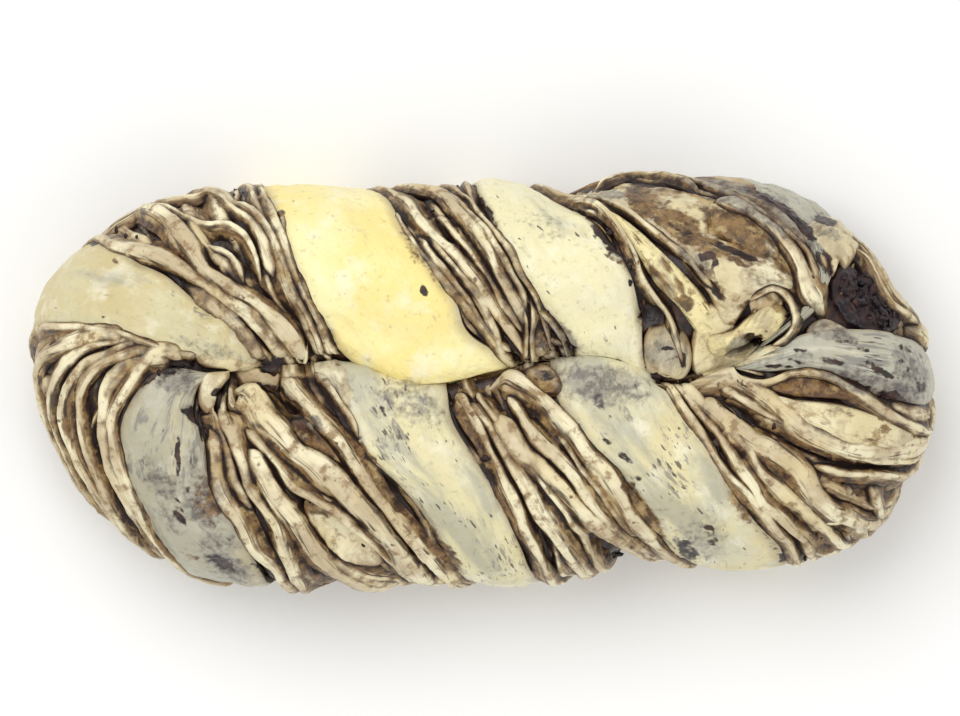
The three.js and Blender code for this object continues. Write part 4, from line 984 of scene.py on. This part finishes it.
def ridge(blank, half_width, lift, pale, course, on_back, seed):
    """One layer that stands out by itself. Strands have hardly any flank, broad ridges a wide one."""
    mesh, turn, way = blank
    route, length, to_base = ridge_route(course, on_back)
    flank = 0.35 + 0.95 * float(smooth((half_width - 0.3) / 0.45)) + 0.35 * min(half_width, 1.5)
    full = half_width + flank
    ends = smooth(way * length / 7.0) * (1 if to_base else smooth((1 - way) * length / 7.0))
    crest_part = 0.95 * half_width / full * (1 + 0.35 * wave(way, seed + 0.4, 0.03 * length))
    crest = (1.5 + 0.4 * half_width) * (0.5 + 0.5 * ends)
    side = 1 if math.sin(seed * 5.3) > 0 else -1
    skew = side * (0.42 + 0.16 * wave(way, seed + 0.2, 0.05 * length))
    x, y, share = leaf_profile(turn, crest_part, crest, skew)
    width = full * (0.4 + 0.6 * ends) * (1 + 0.2 * wave(way, seed, 0.03 * length))
    beside = x * width - 0.3 * side * full
    rings = np.linspace(0, 1, ROUTE_RINGS)
    run, angle = (np.interp(way, rings, route[:, i]) + np.interp(way, rings, step) * beside
                  for i, step in enumerate(side_steps(route[:, 0], route[:, 1])))
    height = (lift - 1.3) * ends - ROOT * (1 - ends) + 0.25 * wave(way, seed + 0.7, 0.02 * length)
    points, marks = laid(run, angle, height + y, lambda at: 0.16 * bumps(at, 1.8, seed), share)
    return mesh, points, skin(x * full, way * length, seed, share, pale, marks), (run, angle)


def ridges(name, courses, on_back, blank, material, seed):
    parts = [ridge(blank, *values, on_back, seed + 1.7 * i) for i, values in enumerate(courses)]
    finished(name, parts, material)


# How much more than the others a sheet is crumpled.
CRUMPLED = {"end_grey_sheet": 2.2, "end_leaf": 1.8, "folded_end": 1.8, "end_grey_band": 1.5,
            "front_left_sheet": 1.5}
SHEET_WIDTH = 22.0
SHEET_THICK = 0.8
SHEET_CROWN = 0.7
SHEET_ROOT = 2.2
SHEET_EDGE = 0.6       # the power of the sine that rounds a sheet's edge


def sheet(name, blank, material):
    """A plain sheet of dough over a band, a little crumpled along its way."""
    band = NAMES.index(name)
    mesh, turn, way = blank
    seed = band * 3.7
    cosine, sine = np.cos(turn), np.sin(turn)
    x = np.sign(cosine) * np.abs(cosine) ** 0.55
    edge = np.abs(sine) ** SHEET_EDGE
    y = np.where(sine > 0, (SHEET_THICK + SHEET_CROWN * (1 - np.abs(x) ** 2.2)) * edge, -SHEET_ROOT * edge)
    half_share = 0.52 + 0.02 * wave(way, seed, 3.0)
    run, angle = into_seam(*band_place(band, 0.5 + half_share * x, way), way)
    across = x * SHEET_WIDTH / 2
    creases = np.stack([way * BAND_LENGTH / 3.0, across, np.full(len(way), seed)], axis=1)

    def swell(at):
        return CRUMPLED.get(name, 1.0) * (0.35 * bumps(at, 9.0, seed) + 0.22 * bumps(creases, 2.6, seed + 1)
                                          + 0.1 * bumps(at, 1.6, seed + 2))

    height = 0.6 * BANDS[band][2] - 0.3 + y
    points, marks = laid(run, angle, height, swell, np.zeros(len(way)))
    # The colour's height falls to the sheet's rim and below zero beneath it; the sheet material paints shade
    # there.
    look = {"across": across * MM, "along": way * BAND_LENGTH * MM, "edge": 1 - np.abs(x),
            "height": np.where(sine > 0, edge, sine), **marks}
    finished(name, [(mesh, points, look, (run, angle))], material)


# ---- Folds and filling ---------------------------------------------------------------------------------

RIM_STEPS = 11         # how many steps an outline has from one of its corners to the next


def fold(blank, lift, crown, grain, pale, on_back, outline, seed):
    """A broad fold with its own outline, domed in the middle and tucked under at the edge."""
    mesh, turn, far, on_top = blank
    corners = np.array([seen(x, y) for x, y in outline])
    middle = corners.mean(0)
    corners = corners[np.argsort(np.arctan2(*(corners - middle).T[::-1]))]
    count = len(corners)
    rim = np.array([through(*corners[np.arange(i - 1, i + 3) % count], share)
                    for i in range(count) for share in np.linspace(0, 1, RIM_STEPS + 1)[:-1]])
    rim_turn = np.arctan2(*(rim - middle).T[::-1])
    order = np.argsort(rim_turn)
    edge_x, edge_y = (np.interp(turn, rim_turn[order], rim[order, i], period=2 * math.pi) for i in (0, 1))
    x = middle[0] + (edge_x - middle[0]) * far
    y = middle[1] + (edge_y - middle[1]) * far
    run, angle = place_under(x, y, on_back)
    domed = lift + crown * (1 - far ** 3.2) - smooth((far - 0.86) / 0.14)
    height = np.where(on_top, domed, lift - 1.0 - 1.6 * (1 - far))
    along, across = turned(x, y, grain)
    creases = np.stack([along / 4, across, np.full(len(x), seed)], axis=1)

    def swell(at):
        return (0.35 * bumps(creases, 2.2, seed) + 0.3 * bumps(at, 3.5, seed + 1)) * (1 - far ** 6)

    points, marks = laid(run, angle, height, swell, np.zeros(len(x)))
    # The colour's height: it falls at the rim and is lowest beneath, where the fold material paints shade.
    high = np.where(on_top, 0.86 - 0.62 * far ** 9, -0.3)
    return mesh, points, skin(across, along, seed, high, pale, marks), (run, angle)


def folds(name, on_back, blank, material):
    parts = [fold(blank, *values, i * 2.3) for i, (_, *values) in enumerate(FOLDS) if values[4] == on_back]
    finished(name, parts, material)


def bare_filling(blank, material):
    """The lump of filling at the right end, with crags."""
    mesh, points, look, places = fold(blank, *FILLING_MASS, 31.0)
    crags = 1.1 * np.abs(bumps(points, 4.2, 2.2)) + 0.6 * np.abs(bumps(points, 1.7, 5.2)) - 0.8
    points += loaf_normal(*places) * crags[:, None]
    finished("bare_filling", [(mesh, points, look, places)], material)


FILLED_BANDS = ("left_fan", "back_left_layers", "back_middle_layers", "front_left_layers",
                "front_middle_layers", "right_fan_front", "right_fan_end", "back_brown_face", "top_arcs")
BITS_IN_BAND = 34
BITS_ON_MASS = 110
MASS_MIDDLE = (870, 298)
MASS_HALF_LENGTH = 34
MASS_HALF_WIDTH = 15
MASS_COSINE = 0.72
MASS_SINE = 0.69


def bit_places():
    """Where bits of filling lie between the layers and on the bare lump: (run, angle, lift, size)."""
    random = np.random.default_rng(11)
    places = []
    for name in FILLED_BANDS:
        band = NAMES.index(name)
        for _ in range(BITS_IN_BAND):
            run, angle = band_place(band, random.random(), 0.03 + 0.72 * random.random())
            places.append((run, angle, -0.2 + 0.7 * random.random(), 0.25 + 0.5 * random.random() ** 2))
    for _ in range(BITS_ON_MASS):
        along, across = MASS_HALF_LENGTH * random.uniform(-1, 1), MASS_HALF_WIDTH * random.uniform(-1, 1)
        x, y = seen(MASS_MIDDLE[0] + MASS_COSINE * along - MASS_SINE * across,
                    MASS_MIDDLE[1] + MASS_SINE * along + MASS_COSINE * across)
        run, angle = place_under(x, y, True)
        places.append((run, angle, -0.4 + random.random(), 0.3 + 0.6 * random.random() ** 2))
    return places


def filling_bits(material, seed):
    """Rough little lumps of filling."""
    bm = bmesh.new()
    bmesh.ops.create_icosphere(bm, subdivisions=2, radius=1)
    mesh, co = as_blank(bm)
    parts = []
    for i, (run, angle, lift, size) in enumerate(bit_places()):
        run, angle = float(run), float(angle)
        centre = on_loaf(np.array([run]), np.array([angle]), np.array([lift]))[0]
        stretch = 1 + 0.5 * np.sin(np.array([1.7, 2.9, 4.3]) * (i + seed))
        points = centre + co * size * stretch * (1 + 0.8 * bumps(co, 0.9, i + seed, 1))[:, None]
        points[:, 2] = np.maximum(points[:, 2], FLOOR_CLEARANCE)
        parts.append((mesh, points, {}, (np.full(len(co), run), np.full(len(co), angle))))
    finished("filling_bits", parts, material)


CORE_AROUND, CORE_DOWN = 320, 60
CORE_SIDE = 0.8        # the share of the core's rings from the seam down to the base, and the rest
CORE_BASE = 0.2
CORE_DEPTH = 1.6


def core(material):
    """The heart of the loaf under its layers, with the flat base."""
    mesh, turn, fall = blank_ball(CORE_AROUND, CORE_DOWN)
    run = np.where(np.abs(turn) > math.pi, 0, turn) / (2 * math.pi) * LOOP
    angle = SEAM_ANGLE - np.clip(fall / CORE_SIDE, 0, 1) * (SEAM_ANGLE + BASE_ANGLE)
    points = on_loaf(run, angle, -CORE_DEPTH * smooth(fall * 20))
    points += loaf_normal(run, angle) * (0.5 * bumps(points, 4.0, 3) * smooth(fall * 12))[:, None]
    base = fall > CORE_SIDE
    shrink = np.clip((1 - fall) / CORE_BASE, 0, 1)[:, None]
    points[base] = (points * np.concatenate([shrink, shrink, np.zeros_like(shrink)], axis=1))[base]
    points[fall < 0.001] = (0, SEAM_Y, WAIST_HEIGHT + LIFT * math.sin(SEAM_ANGLE) - 1)
    finished("core", [(mesh, points, {}, (run, angle))], material)


# ---- Materials -----------------------------------------------------------------------------------------
# Colours are given as they look on a screen, (red, green, blue) from 0 to 255.

def linear(red, green, blue):
    parts = [value / 255 for value in (red, green, blue)]
    return tuple(p / 12.92 if p <= 0.04045 else ((p + 0.055) / 1.055) ** 2.4 for p in parts) + (1,)


class Nodes:
    """Short calls for building a material's nodes."""

    def __init__(self, name):
        self.material = bpy.data.materials.new(name)
        self.material.use_nodes = True
        self.tree = self.material.node_tree
        self.shader = self.tree.nodes["Principled BSDF"]
        self.place = self.tree.nodes.new("ShaderNodeTexCoord").outputs["Object"]

    def link(self, source, socket):
        """Gives a socket another node's output, a colour or a number."""
        if hasattr(source, "is_linked"):
            self.tree.links.new(source, socket)
        else:
            socket.default_value = linear(*source) if isinstance(source, tuple) else source

    def attribute(self, name):
        node = self.tree.nodes.new("ShaderNodeAttribute")
        node.attribute_name = name
        return node.outputs["Fac"]

    def math(self, operation, a, b=0.0):
        node = self.tree.nodes.new("ShaderNodeMath")
        node.operation = operation
        self.link(a, node.inputs[0])
        self.link(b, node.inputs[1])
        return node.outputs[0]

    def add(self, first, *others):
        for other in others:
            first = self.math("ADD", first, other)
        return first

    def scaled(self, value, factor):
        return self.math("MULTIPLY", value, factor)

    def swing(self, noise, factor):
        """A noise, which lies around 0.5, as a swing about 0."""
        return self.scaled(self.math("SUBTRACT", noise, 0.5), factor)

    def band(self, value, low, high, start=0.0, end=1.0):
        """Goes smoothly from start to end while value goes from low to high."""
        node = self.tree.nodes.new("ShaderNodeMapRange")
        node.interpolation_type = "SMOOTHSTEP"
        numbers = {"Value": value, "From Min": low, "From Max": high, "To Min": start, "To Max": end}
        for key, number in numbers.items():
            self.link(number, node.inputs[key])
        return node.outputs["Result"]

    def vector(self, x, y, z):
        node = self.tree.nodes.new("ShaderNodeCombineXYZ")
        for value, socket in zip((x, y, z), node.inputs):
            self.link(value, socket)
        return node.outputs[0]

    def flow(self, stretch, apart):
        """Places that follow a piece, drawn out along it, and lie apart from those of the next leaf."""
        return self.vector(self.scaled(self.attribute("along"), stretch), self.attribute("across"),
                           self.scaled(self.attribute("seed"), apart))

    def noise(self, scale, detail, place=None, roughness=0.55, distortion=0.0):
        node = self.tree.nodes.new("ShaderNodeTexNoise")
        self.link(self.place if place is None else place, node.inputs["Vector"])
        node.inputs["Scale"].default_value = scale
        node.inputs["Detail"].default_value = detail
        node.inputs["Roughness"].default_value = roughness
        node.inputs["Distortion"].default_value = distortion
        return node.outputs["Fac"]

    def patches(self, scale, roughness=0.65):
        """Patches with ragged edges."""
        return self.noise(scale, 5, roughness=roughness)

    def mix(self, share, a, b):
        node = self.tree.nodes.new("ShaderNodeMix")
        node.data_type = "RGBA"
        for value, socket in zip((share, a, b), (node.inputs[0], node.inputs[6], node.inputs[7])):
            self.link(value, socket)
        return node.outputs[2]

    def tinted(self, colour, value, low, high, tone, share=1.0):
        """The colour, mixed with up to that share of a tone while value goes from low to high."""
        return self.mix(self.band(value, low, high, 0.0, share), colour, tone)

    def finish(self, colour, roughness, gloss, depth=0.0):
        self.link(colour, self.shader.inputs["Base Color"])
        self.link(roughness, self.shader.inputs["Roughness"])
        self.shader.inputs["Specular IOR Level"].default_value = gloss
        if depth:
            self.shader.inputs["Subsurface Weight"].default_value = depth
            self.shader.inputs["Subsurface Radius"].default_value = (1.0, 0.7, 0.4)
            self.shader.inputs["Subsurface Scale"].default_value = 0.0015
        return self.material

    def bump(self, height, distance):
        node = self.tree.nodes.new("ShaderNodeBump")
        node.inputs["Distance"].default_value = distance
        node.inputs["Strength"].default_value = 1.0
        self.link(height, node.inputs["Height"])
        self.link(node.outputs["Normal"], self.shader.inputs["Normal"])


# Nearly black: filling deep in gaps and hollows, dark enough to be partly painted shade.
NIGHT = (34, 22, 24)


def stains_and_painted_shade(n, colour, fine, groove_start):
    """Brown faces, grey veils, dark pockets and grooves over a colour, with ragged edges. The dark pockets
    and the grooves are dark filling and painted shade.
    """
    ragged = n.swing(fine, 1.5)
    grain = n.patches(420)
    patches = n.patches(190)
    brown = n.tinted((76, 50, 32), grain, 0.38, 0.62, (142, 110, 66))
    brown = n.tinted(brown, patches, 0.54, 0.66, (190, 164, 112), 0.8)
    brown = n.tinted(brown, patches, 0.46, 0.36, (56, 35, 26), 0.85)
    grey = n.tinted((76, 66, 68), grain, 0.4, 0.6, (152, 145, 131))
    night = n.tinted(NIGHT, grain, 0.46, 0.68, (74, 44, 36))
    groove = n.add(n.attribute("groove"), n.scaled(ragged, 0.45))
    colour = n.tinted(colour, n.add(n.attribute("grey"), ragged), 0.3, 1.05, grey, 0.8)
    colour = n.tinted(colour, n.add(n.attribute("brown"), ragged), 0.3, 0.8, brown, 0.94)
    # Dark pockets painted nearly black: dark filling and painted shade in the hollows.
    colour = n.tinted(colour, n.add(n.attribute("dark"), n.scaled(ragged, 0.8)), 0.34, 0.72, night, 0.97)
    # Painted shade in the grooves: brown, then nearly black, the deeper a point lies below the surface around
    # it; partly the dark filling there.
    colour = n.tinted(colour, groove, groove_start - 0.45, groove_start, brown, 0.75)
    return n.tinted(colour, groove, groove_start - 0.05, groove_start + 0.35, (34, 22, 20), 0.96)


def layer_material():
    """Thin layers: pale dough on the crest, taupe flanks, mottled brown filling and nearly black grooves. The
    darkening towards the grooves is partly filling colour and partly painted shade.
    """
    n = Nodes("thin_layers")
    height = n.attribute("height")
    flow = n.flow(1.0, 3.0)
    slow = n.noise(60, 3, flow)
    fine = n.noise(650, 4, flow, 0.6)
    lines = n.noise(900, 3, n.flow(0.12, 3.0), 0.6, 0.3)
    patches = n.patches(300, 0.68)
    depth = n.add(height, n.swing(slow, 0.9), n.swing(fine, 0.5), n.swing(lines, 0.7),
                  n.scaled(n.attribute("pale"), 0.16))
    cream = n.tinted((244, 234, 197), n.noise(75, 3), 0.38, 0.62, (202, 184, 148))
    cream = n.tinted(cream, slow, 0.52, 0.68, (230, 210, 156), 0.5)
    cream = n.tinted(cream, lines, 0.5, 0.34, (184, 160, 126), 0.5)
    cream = n.tinted(cream, patches, 0.52, 0.66, (142, 112, 76), 0.8)
    cream = n.tinted(cream, n.noise(340, 2, roughness=0.5), 0.69, 0.75, (104, 72, 46), 0.85)
    taupe = n.tinted((134, 108, 74), lines, 0.4, 0.62, (192, 169, 126))
    taupe = n.tinted(taupe, patches, 0.55, 0.66, (200, 174, 120), 0.6)
    brown = n.tinted((66, 43, 31), patches, 0.38, 0.62, (140, 110, 68))
    threads = n.math("ABSOLUTE", n.swing(n.noise(800, 2, n.flow(0.05, 3.0), 0.5), 1.0))
    broken = n.scaled(n.band(n.noise(170, 3, flow), 0.4, 0.52), n.band(height, 0.95, 0.7, 0.0, 0.85))
    # From the crest down the colour goes pale, taupe, brown and nearly black: partly filling colour, partly
    # painted shade deep in the crevices.
    colour = n.tinted(cream, depth, 0.93, 0.62, taupe)
    colour = n.mix(n.scaled(n.band(threads, 0.06, 0.018), broken), colour, (50, 32, 26))
    colour = n.tinted(colour, depth, 0.47, 0.29, brown)
    colour = n.tinted(colour, depth, 0.28, 0.13, (30, 18, 17), 0.97)
    n.bump(n.add(n.scaled(fine, 0.5), lines, patches), 0.00035)
    return n.finish(stains_and_painted_shade(n, colour, fine, -0.02), n.band(patches, 0.3, 0.7, 0.34, 0.58), 0.35, 0.06)


def fold_material():
    """Broad pale folds, mottled, with stains of filling and painted shade at the tucked-under rim. The palest
    are yellow.
    """
    n = Nodes("broad_folds")
    flow = n.flow(0.4, 1.0)
    fine = n.noise(650, 4, flow, 0.6)
    streaks = n.noise(420, 5, flow, 0.65, 0.5)
    patches = n.patches(240)
    pale = n.attribute("pale")
    depth = n.add(n.attribute("height"), n.swing(fine, 0.4), n.scaled(n.math("SUBTRACT", pale, 2.0), 0.2))
    colour = n.tinted((236, 227, 192), n.noise(70, 4), 0.4, 0.62, (222, 207, 164))
    colour = n.tinted(colour, pale, 2.25, 2.4, (248, 233, 168), 0.65)
    colour = n.tinted(colour, n.patches(110, 0.7), 0.46, 0.6, (186, 170, 136), 0.75)
    colour = n.tinted(colour, streaks, 0.54, 0.68, (168, 144, 108), 0.75)
    colour = n.tinted(colour, patches, 0.54, 0.64, (150, 120, 80), 0.7)
    colour = n.tinted(colour, patches, 0.64, 0.74, (86, 58, 40), 0.85)
    colour = n.tinted(colour, n.noise(320, 2, roughness=0.5), 0.69, 0.75, (104, 72, 46), 0.8)
    # Darker as depth falls: the fold's own tone for the less pale folds, and painted shade at the rim where
    # it tucks under and beneath it.
    colour = n.tinted(colour, depth, 0.78, 0.6, (168, 142, 106), 0.75)
    colour = n.tinted(colour, depth, 0.56, 0.36, (98, 68, 46), 0.95)
    colour = n.tinted(colour, depth, 0.34, 0.1, (38, 23, 20))
    n.bump(n.add(n.scaled(fine, 0.5), streaks, patches), 0.0004)
    return n.finish(stains_and_painted_shade(n, colour, fine, 0.9), n.band(patches, 0.3, 0.7, 0.34, 0.56), 0.35, 0.06)


BASE_TOP = 0.0012      # the core is pale from BASE_PALE down, in metres, and dark from here up
BASE_PALE = 0.0004


def core_material():
    """Filling that shows deep between the layers, nearly black as dark filling and painted shade, and the
    pale base.
    """
    n = Nodes("filling")
    patches = n.patches(230)
    colour = n.tinted(NIGHT, patches, 0.42, 0.68, (84, 56, 36))
    colour = n.tinted(colour, n.noise(110, 3), 0.5, 0.4, (40, 25, 22), 0.8)
    parts = n.tree.nodes.new("ShaderNodeSeparateXYZ")
    n.link(n.place, parts.inputs[0])
    above = parts.outputs["Z"]
    marbled = n.noise(55, 5, roughness=0.6, distortion=1.5)
    base = n.tinted((212, 198, 164), marbled, 0.42, 0.58, (154, 128, 94))
    n.bump(patches, 0.0006)
    return n.finish(n.tinted(colour, above, BASE_TOP, BASE_PALE, base),
                    n.band(above, BASE_TOP, BASE_PALE, 0.35, 0.6), 0.4)


def bare_filling_material():
    """Dark sweet filling, wet, with a few rusty bits."""
    n = Nodes("filling_bits")
    patches = n.noise(300, 4, roughness=0.6)
    colour = n.tinted((26, 17, 22), patches, 0.42, 0.6, (58, 38, 38))
    colour = n.tinted(colour, n.noise(150, 3), 0.58, 0.68, (112, 70, 42), 0.7)
    n.bump(patches, 0.0005)
    return n.finish(colour, n.band(patches, 0.3, 0.7, 0.3, 0.6), 0.35)


def sheet_material(name, pale, warm, warm_share, grey, specks, stretch=0.36):
    """A plain sheet of dough: two tones, grey-blue streaks where filling shines through, and fine specks."""
    n = Nodes(name)
    flow = n.flow(stretch, 0.0)
    veil = n.noise(95, 5, flow, 0.62)
    streaks = n.noise(520, 4, flow, 0.6, 0.6)
    dashes = n.noise(900, 3, flow, 0.5, 0.3)
    crowd = n.noise(80, 3)
    fine = n.noise(700, 4)
    warm_from = 0.5 - 0.4 * warm_share
    veil_from = 0.66 - 0.26 * grey
    streaks_from = 0.74 - 0.14 * grey
    specks_from = 0.80 - 0.10 * specks
    colour = n.tinted(pale, n.noise(42, 4), warm_from, warm_from + 0.24, warm)
    colour = n.tinted(colour, n.noise(150, 4), 0.5, 0.7, (248, 244, 220), 0.55)
    colour = n.tinted(colour, veil, veil_from, veil_from + 0.18, (172, 170, 152), 0.7)
    colour = n.tinted(colour, n.add(streaks, n.swing(crowd, 0.55)), streaks_from, streaks_from + 0.1,
                      (132, 128, 124), 0.75)
    colour = n.tinted(colour, n.add(dashes, n.swing(crowd, 0.5)), specks_from, specks_from + 0.06,
                      (78, 70, 68), 0.85)
    colour = n.tinted(colour, fine, 0.56, 0.74, (178, 164, 128), 0.4)
    inwards = n.math("SUBTRACT", n.attribute("edge"), n.swing(veil, 0.3))
    colour = n.tinted(colour, inwards, 0.22, -0.02, (150, 130, 100), 0.55)
    # Painted shade: dark brown at the sheet's rim and beneath it, where it turns under into the loaf.
    colour = n.tinted(colour, n.attribute("height"), 0.35, -0.1, (56, 36, 28))
    n.bump(n.add(n.noise(420, 4), n.scaled(veil, 2.0), n.scaled(streaks, 0.7)), 0.00035)
    wet = n.band(n.attribute("grey"), 0.5, 1.0, 1.0, 0.6)
    rough = n.scaled(n.band(n.noise(200, 3), 0.35, 0.65, 0.34, 0.52), wet)
    return n.finish(stains_and_painted_shade(n, colour, fine, 1.0), rough, 0.4, 0.1)


# ---- Camera, light and floor ---------------------------------------------------------------------------

CAMERA_DISTANCE = 2.4
CAMERA_TARGET = (-0.0004, 0.0055, 0.022)
SENSOR_WIDTH = 36.0
LIGHT_TARGET = (0, 0, 0.02)
SOFTBOX_SIZE = 0.8
WORLD_STRENGTH = 0.7
FLOOR_HALF = 3
FLOOR_Z = -0.0002


def add_object(name, data):
    thing = bpy.data.objects.new(name, data)
    bpy.context.scene.collection.objects.link(thing)
    return thing


def add_camera():
    """A camera straight over the loaf, as far off as a long lens needs."""
    data = bpy.data.cameras.new("camera")
    camera = add_object("camera", data)
    camera.location = Vector(CAMERA_TARGET) + Vector((0, 0, CAMERA_DISTANCE))
    data.sensor_width = SENSOR_WIDTH
    data.lens = SENSOR_WIDTH * CAMERA_DISTANCE / (PHOTO_WIDTH * MM_PER_PIXEL * MM)
    data.clip_end = 10
    bpy.context.scene.camera = camera


def add_softbox(name, location, power):
    data = bpy.data.lights.new(name, "AREA")
    data.shape = "DISK"
    data.size = SOFTBOX_SIZE
    data.energy = power
    light = add_object(name, data)
    light.location = location
    light.rotation_euler = (Vector(LIGHT_TARGET) - light.location).to_track_quat("-Z", "Y").to_euler()


def add_floor():
    bm = bmesh.new()
    bmesh.ops.create_grid(bm, x_segments=1, y_segments=1, size=FLOOR_HALF)
    bmesh.ops.translate(bm, verts=bm.verts, vec=(0, 0, FLOOR_Z))
    mesh = bpy.data.meshes.new("floor")
    bm.to_mesh(mesh)
    bm.free()
    mesh.materials.append(Nodes("floor").finish((252, 252, 251), 0.9, 0.1))
    add_object("floor", mesh)


def add_world():
    scene = bpy.context.scene
    scene.view_settings.view_transform = "Standard"
    scene.world = bpy.data.worlds.new("studio")
    scene.world.use_nodes = True
    background = scene.world.node_tree.nodes["Background"]
    background.inputs["Color"].default_value = (1, 1, 1, 1)
    background.inputs["Strength"].default_value = WORLD_STRENGTH


# ---- Pieces --------------------------------------------------------------------------------------------

LAYERS = {
    "layers_right_end": ["end_crust", "end_cream", "top_arcs"],
    "layers_back_right": ["back_right_layers", "back_brown_face", "back_middle_layers"],
    "layers_back_left": ["back_left_layers"],
    "layers_left_fan": ["left_fan"],
    "layers_front_left": ["front_left_layers"],
    "layers_front_middle": ["front_middle_layers"],
    "layers_right_fan": ["right_fan_front", "right_fan_end"],
}
# Each sheet's pale tone, warm tone, share of warm, grey veil, specks, and how far its streaks are stretched.
SHEETS = {
    "end_leaf": ((206, 188, 138), (176, 140, 82), 0.6, 0.2, 0.6),
    "folded_end": ((208, 194, 160), (186, 160, 116), 0.5, 0.5, 0.8),
    "end_grey_sheet": ((200, 194, 170), (212, 202, 166), 0.4, 1.5, 1.2),
    "back_right_sheet": ((232, 226, 196), (238, 230, 186), 0.5, 0.35, 1.0),
    "yellow_sheet": ((249, 240, 182), (249, 229, 150), 0.4, 0.0, 0.0),
    "left_sheet": ((216, 208, 168), (208, 192, 142), 0.5, 0.4, 0.6),
    "front_left_sheet": ((214, 210, 188), (200, 186, 146), 0.45, 1.3, 1.2, 0.3),
    "front_middle_sheet": ((230, 226, 200), (228, 218, 172), 0.4, 0.85, 1.4),
    "front_right_sheet": ((216, 212, 184), (226, 214, 166), 0.4, 0.85, 1.2),
    "end_grey_band": ((224, 222, 202), (214, 208, 182), 0.3, 1.35, 1.5, 0.16),
}
# Each group's courses, whether they lie on the back leg, and its seed.
RIDGES = {
    "ridges_back_left": (BACK_LEFT_RIDGES, True, 3.1),
    "ridges_back_right": (BACK_RIGHT_RIDGES, True, 23.1),
    "ridges_front_left": (FRONT_LEFT_RIDGES, False, 97.3),
    "ridges_front_right": (FRONT_RIGHT_RIDGES, False, 151.3),
}
LAYER_SIDES, LAYER_RINGS = 18, 120
SHEET_SIDES, SHEET_RINGS = 96, 250
RIDGE_SIDES, RIDGE_RINGS = 22, 150
FOLD_AROUND, FOLD_DOWN = 96, 56


def build_loaf():
    core(core_material())
    layer_look = layer_material()
    layer_blank = blank_tube(LAYER_SIDES, LAYER_RINGS)
    for name, bands in LAYERS.items():
        layers(name, bands, layer_blank, layer_look)
    sheet_blank = blank_tube(SHEET_SIDES, SHEET_RINGS)
    for name, tones in SHEETS.items():
        sheet(name, sheet_blank, sheet_material(name, *tones))
    fold_look = fold_material()
    fold_blank = blank_cushion(FOLD_AROUND, FOLD_DOWN)
    folds("folds_back", True, fold_blank, fold_look)
    folds("folds_front", False, fold_blank, fold_look)
    filling_look = bare_filling_material()
    bare_filling(fold_blank, filling_look)
    filling_bits(filling_look, 4.0)
    ridge_blank = blank_tube(RIDGE_SIDES, RIDGE_RINGS)
    for name, (courses, on_back, seed) in RIDGES.items():
        ridges(name, courses, on_back, ridge_blank, layer_look, seed)
    find_grooves()


add_world()
add_softbox("softbox_over", (-0.28, 0.38, 0.9), 4.4)
add_softbox("softbox_front", (0.4, -0.55, 0.9), 1.6)
add_floor()
add_camera()
build_loaf()
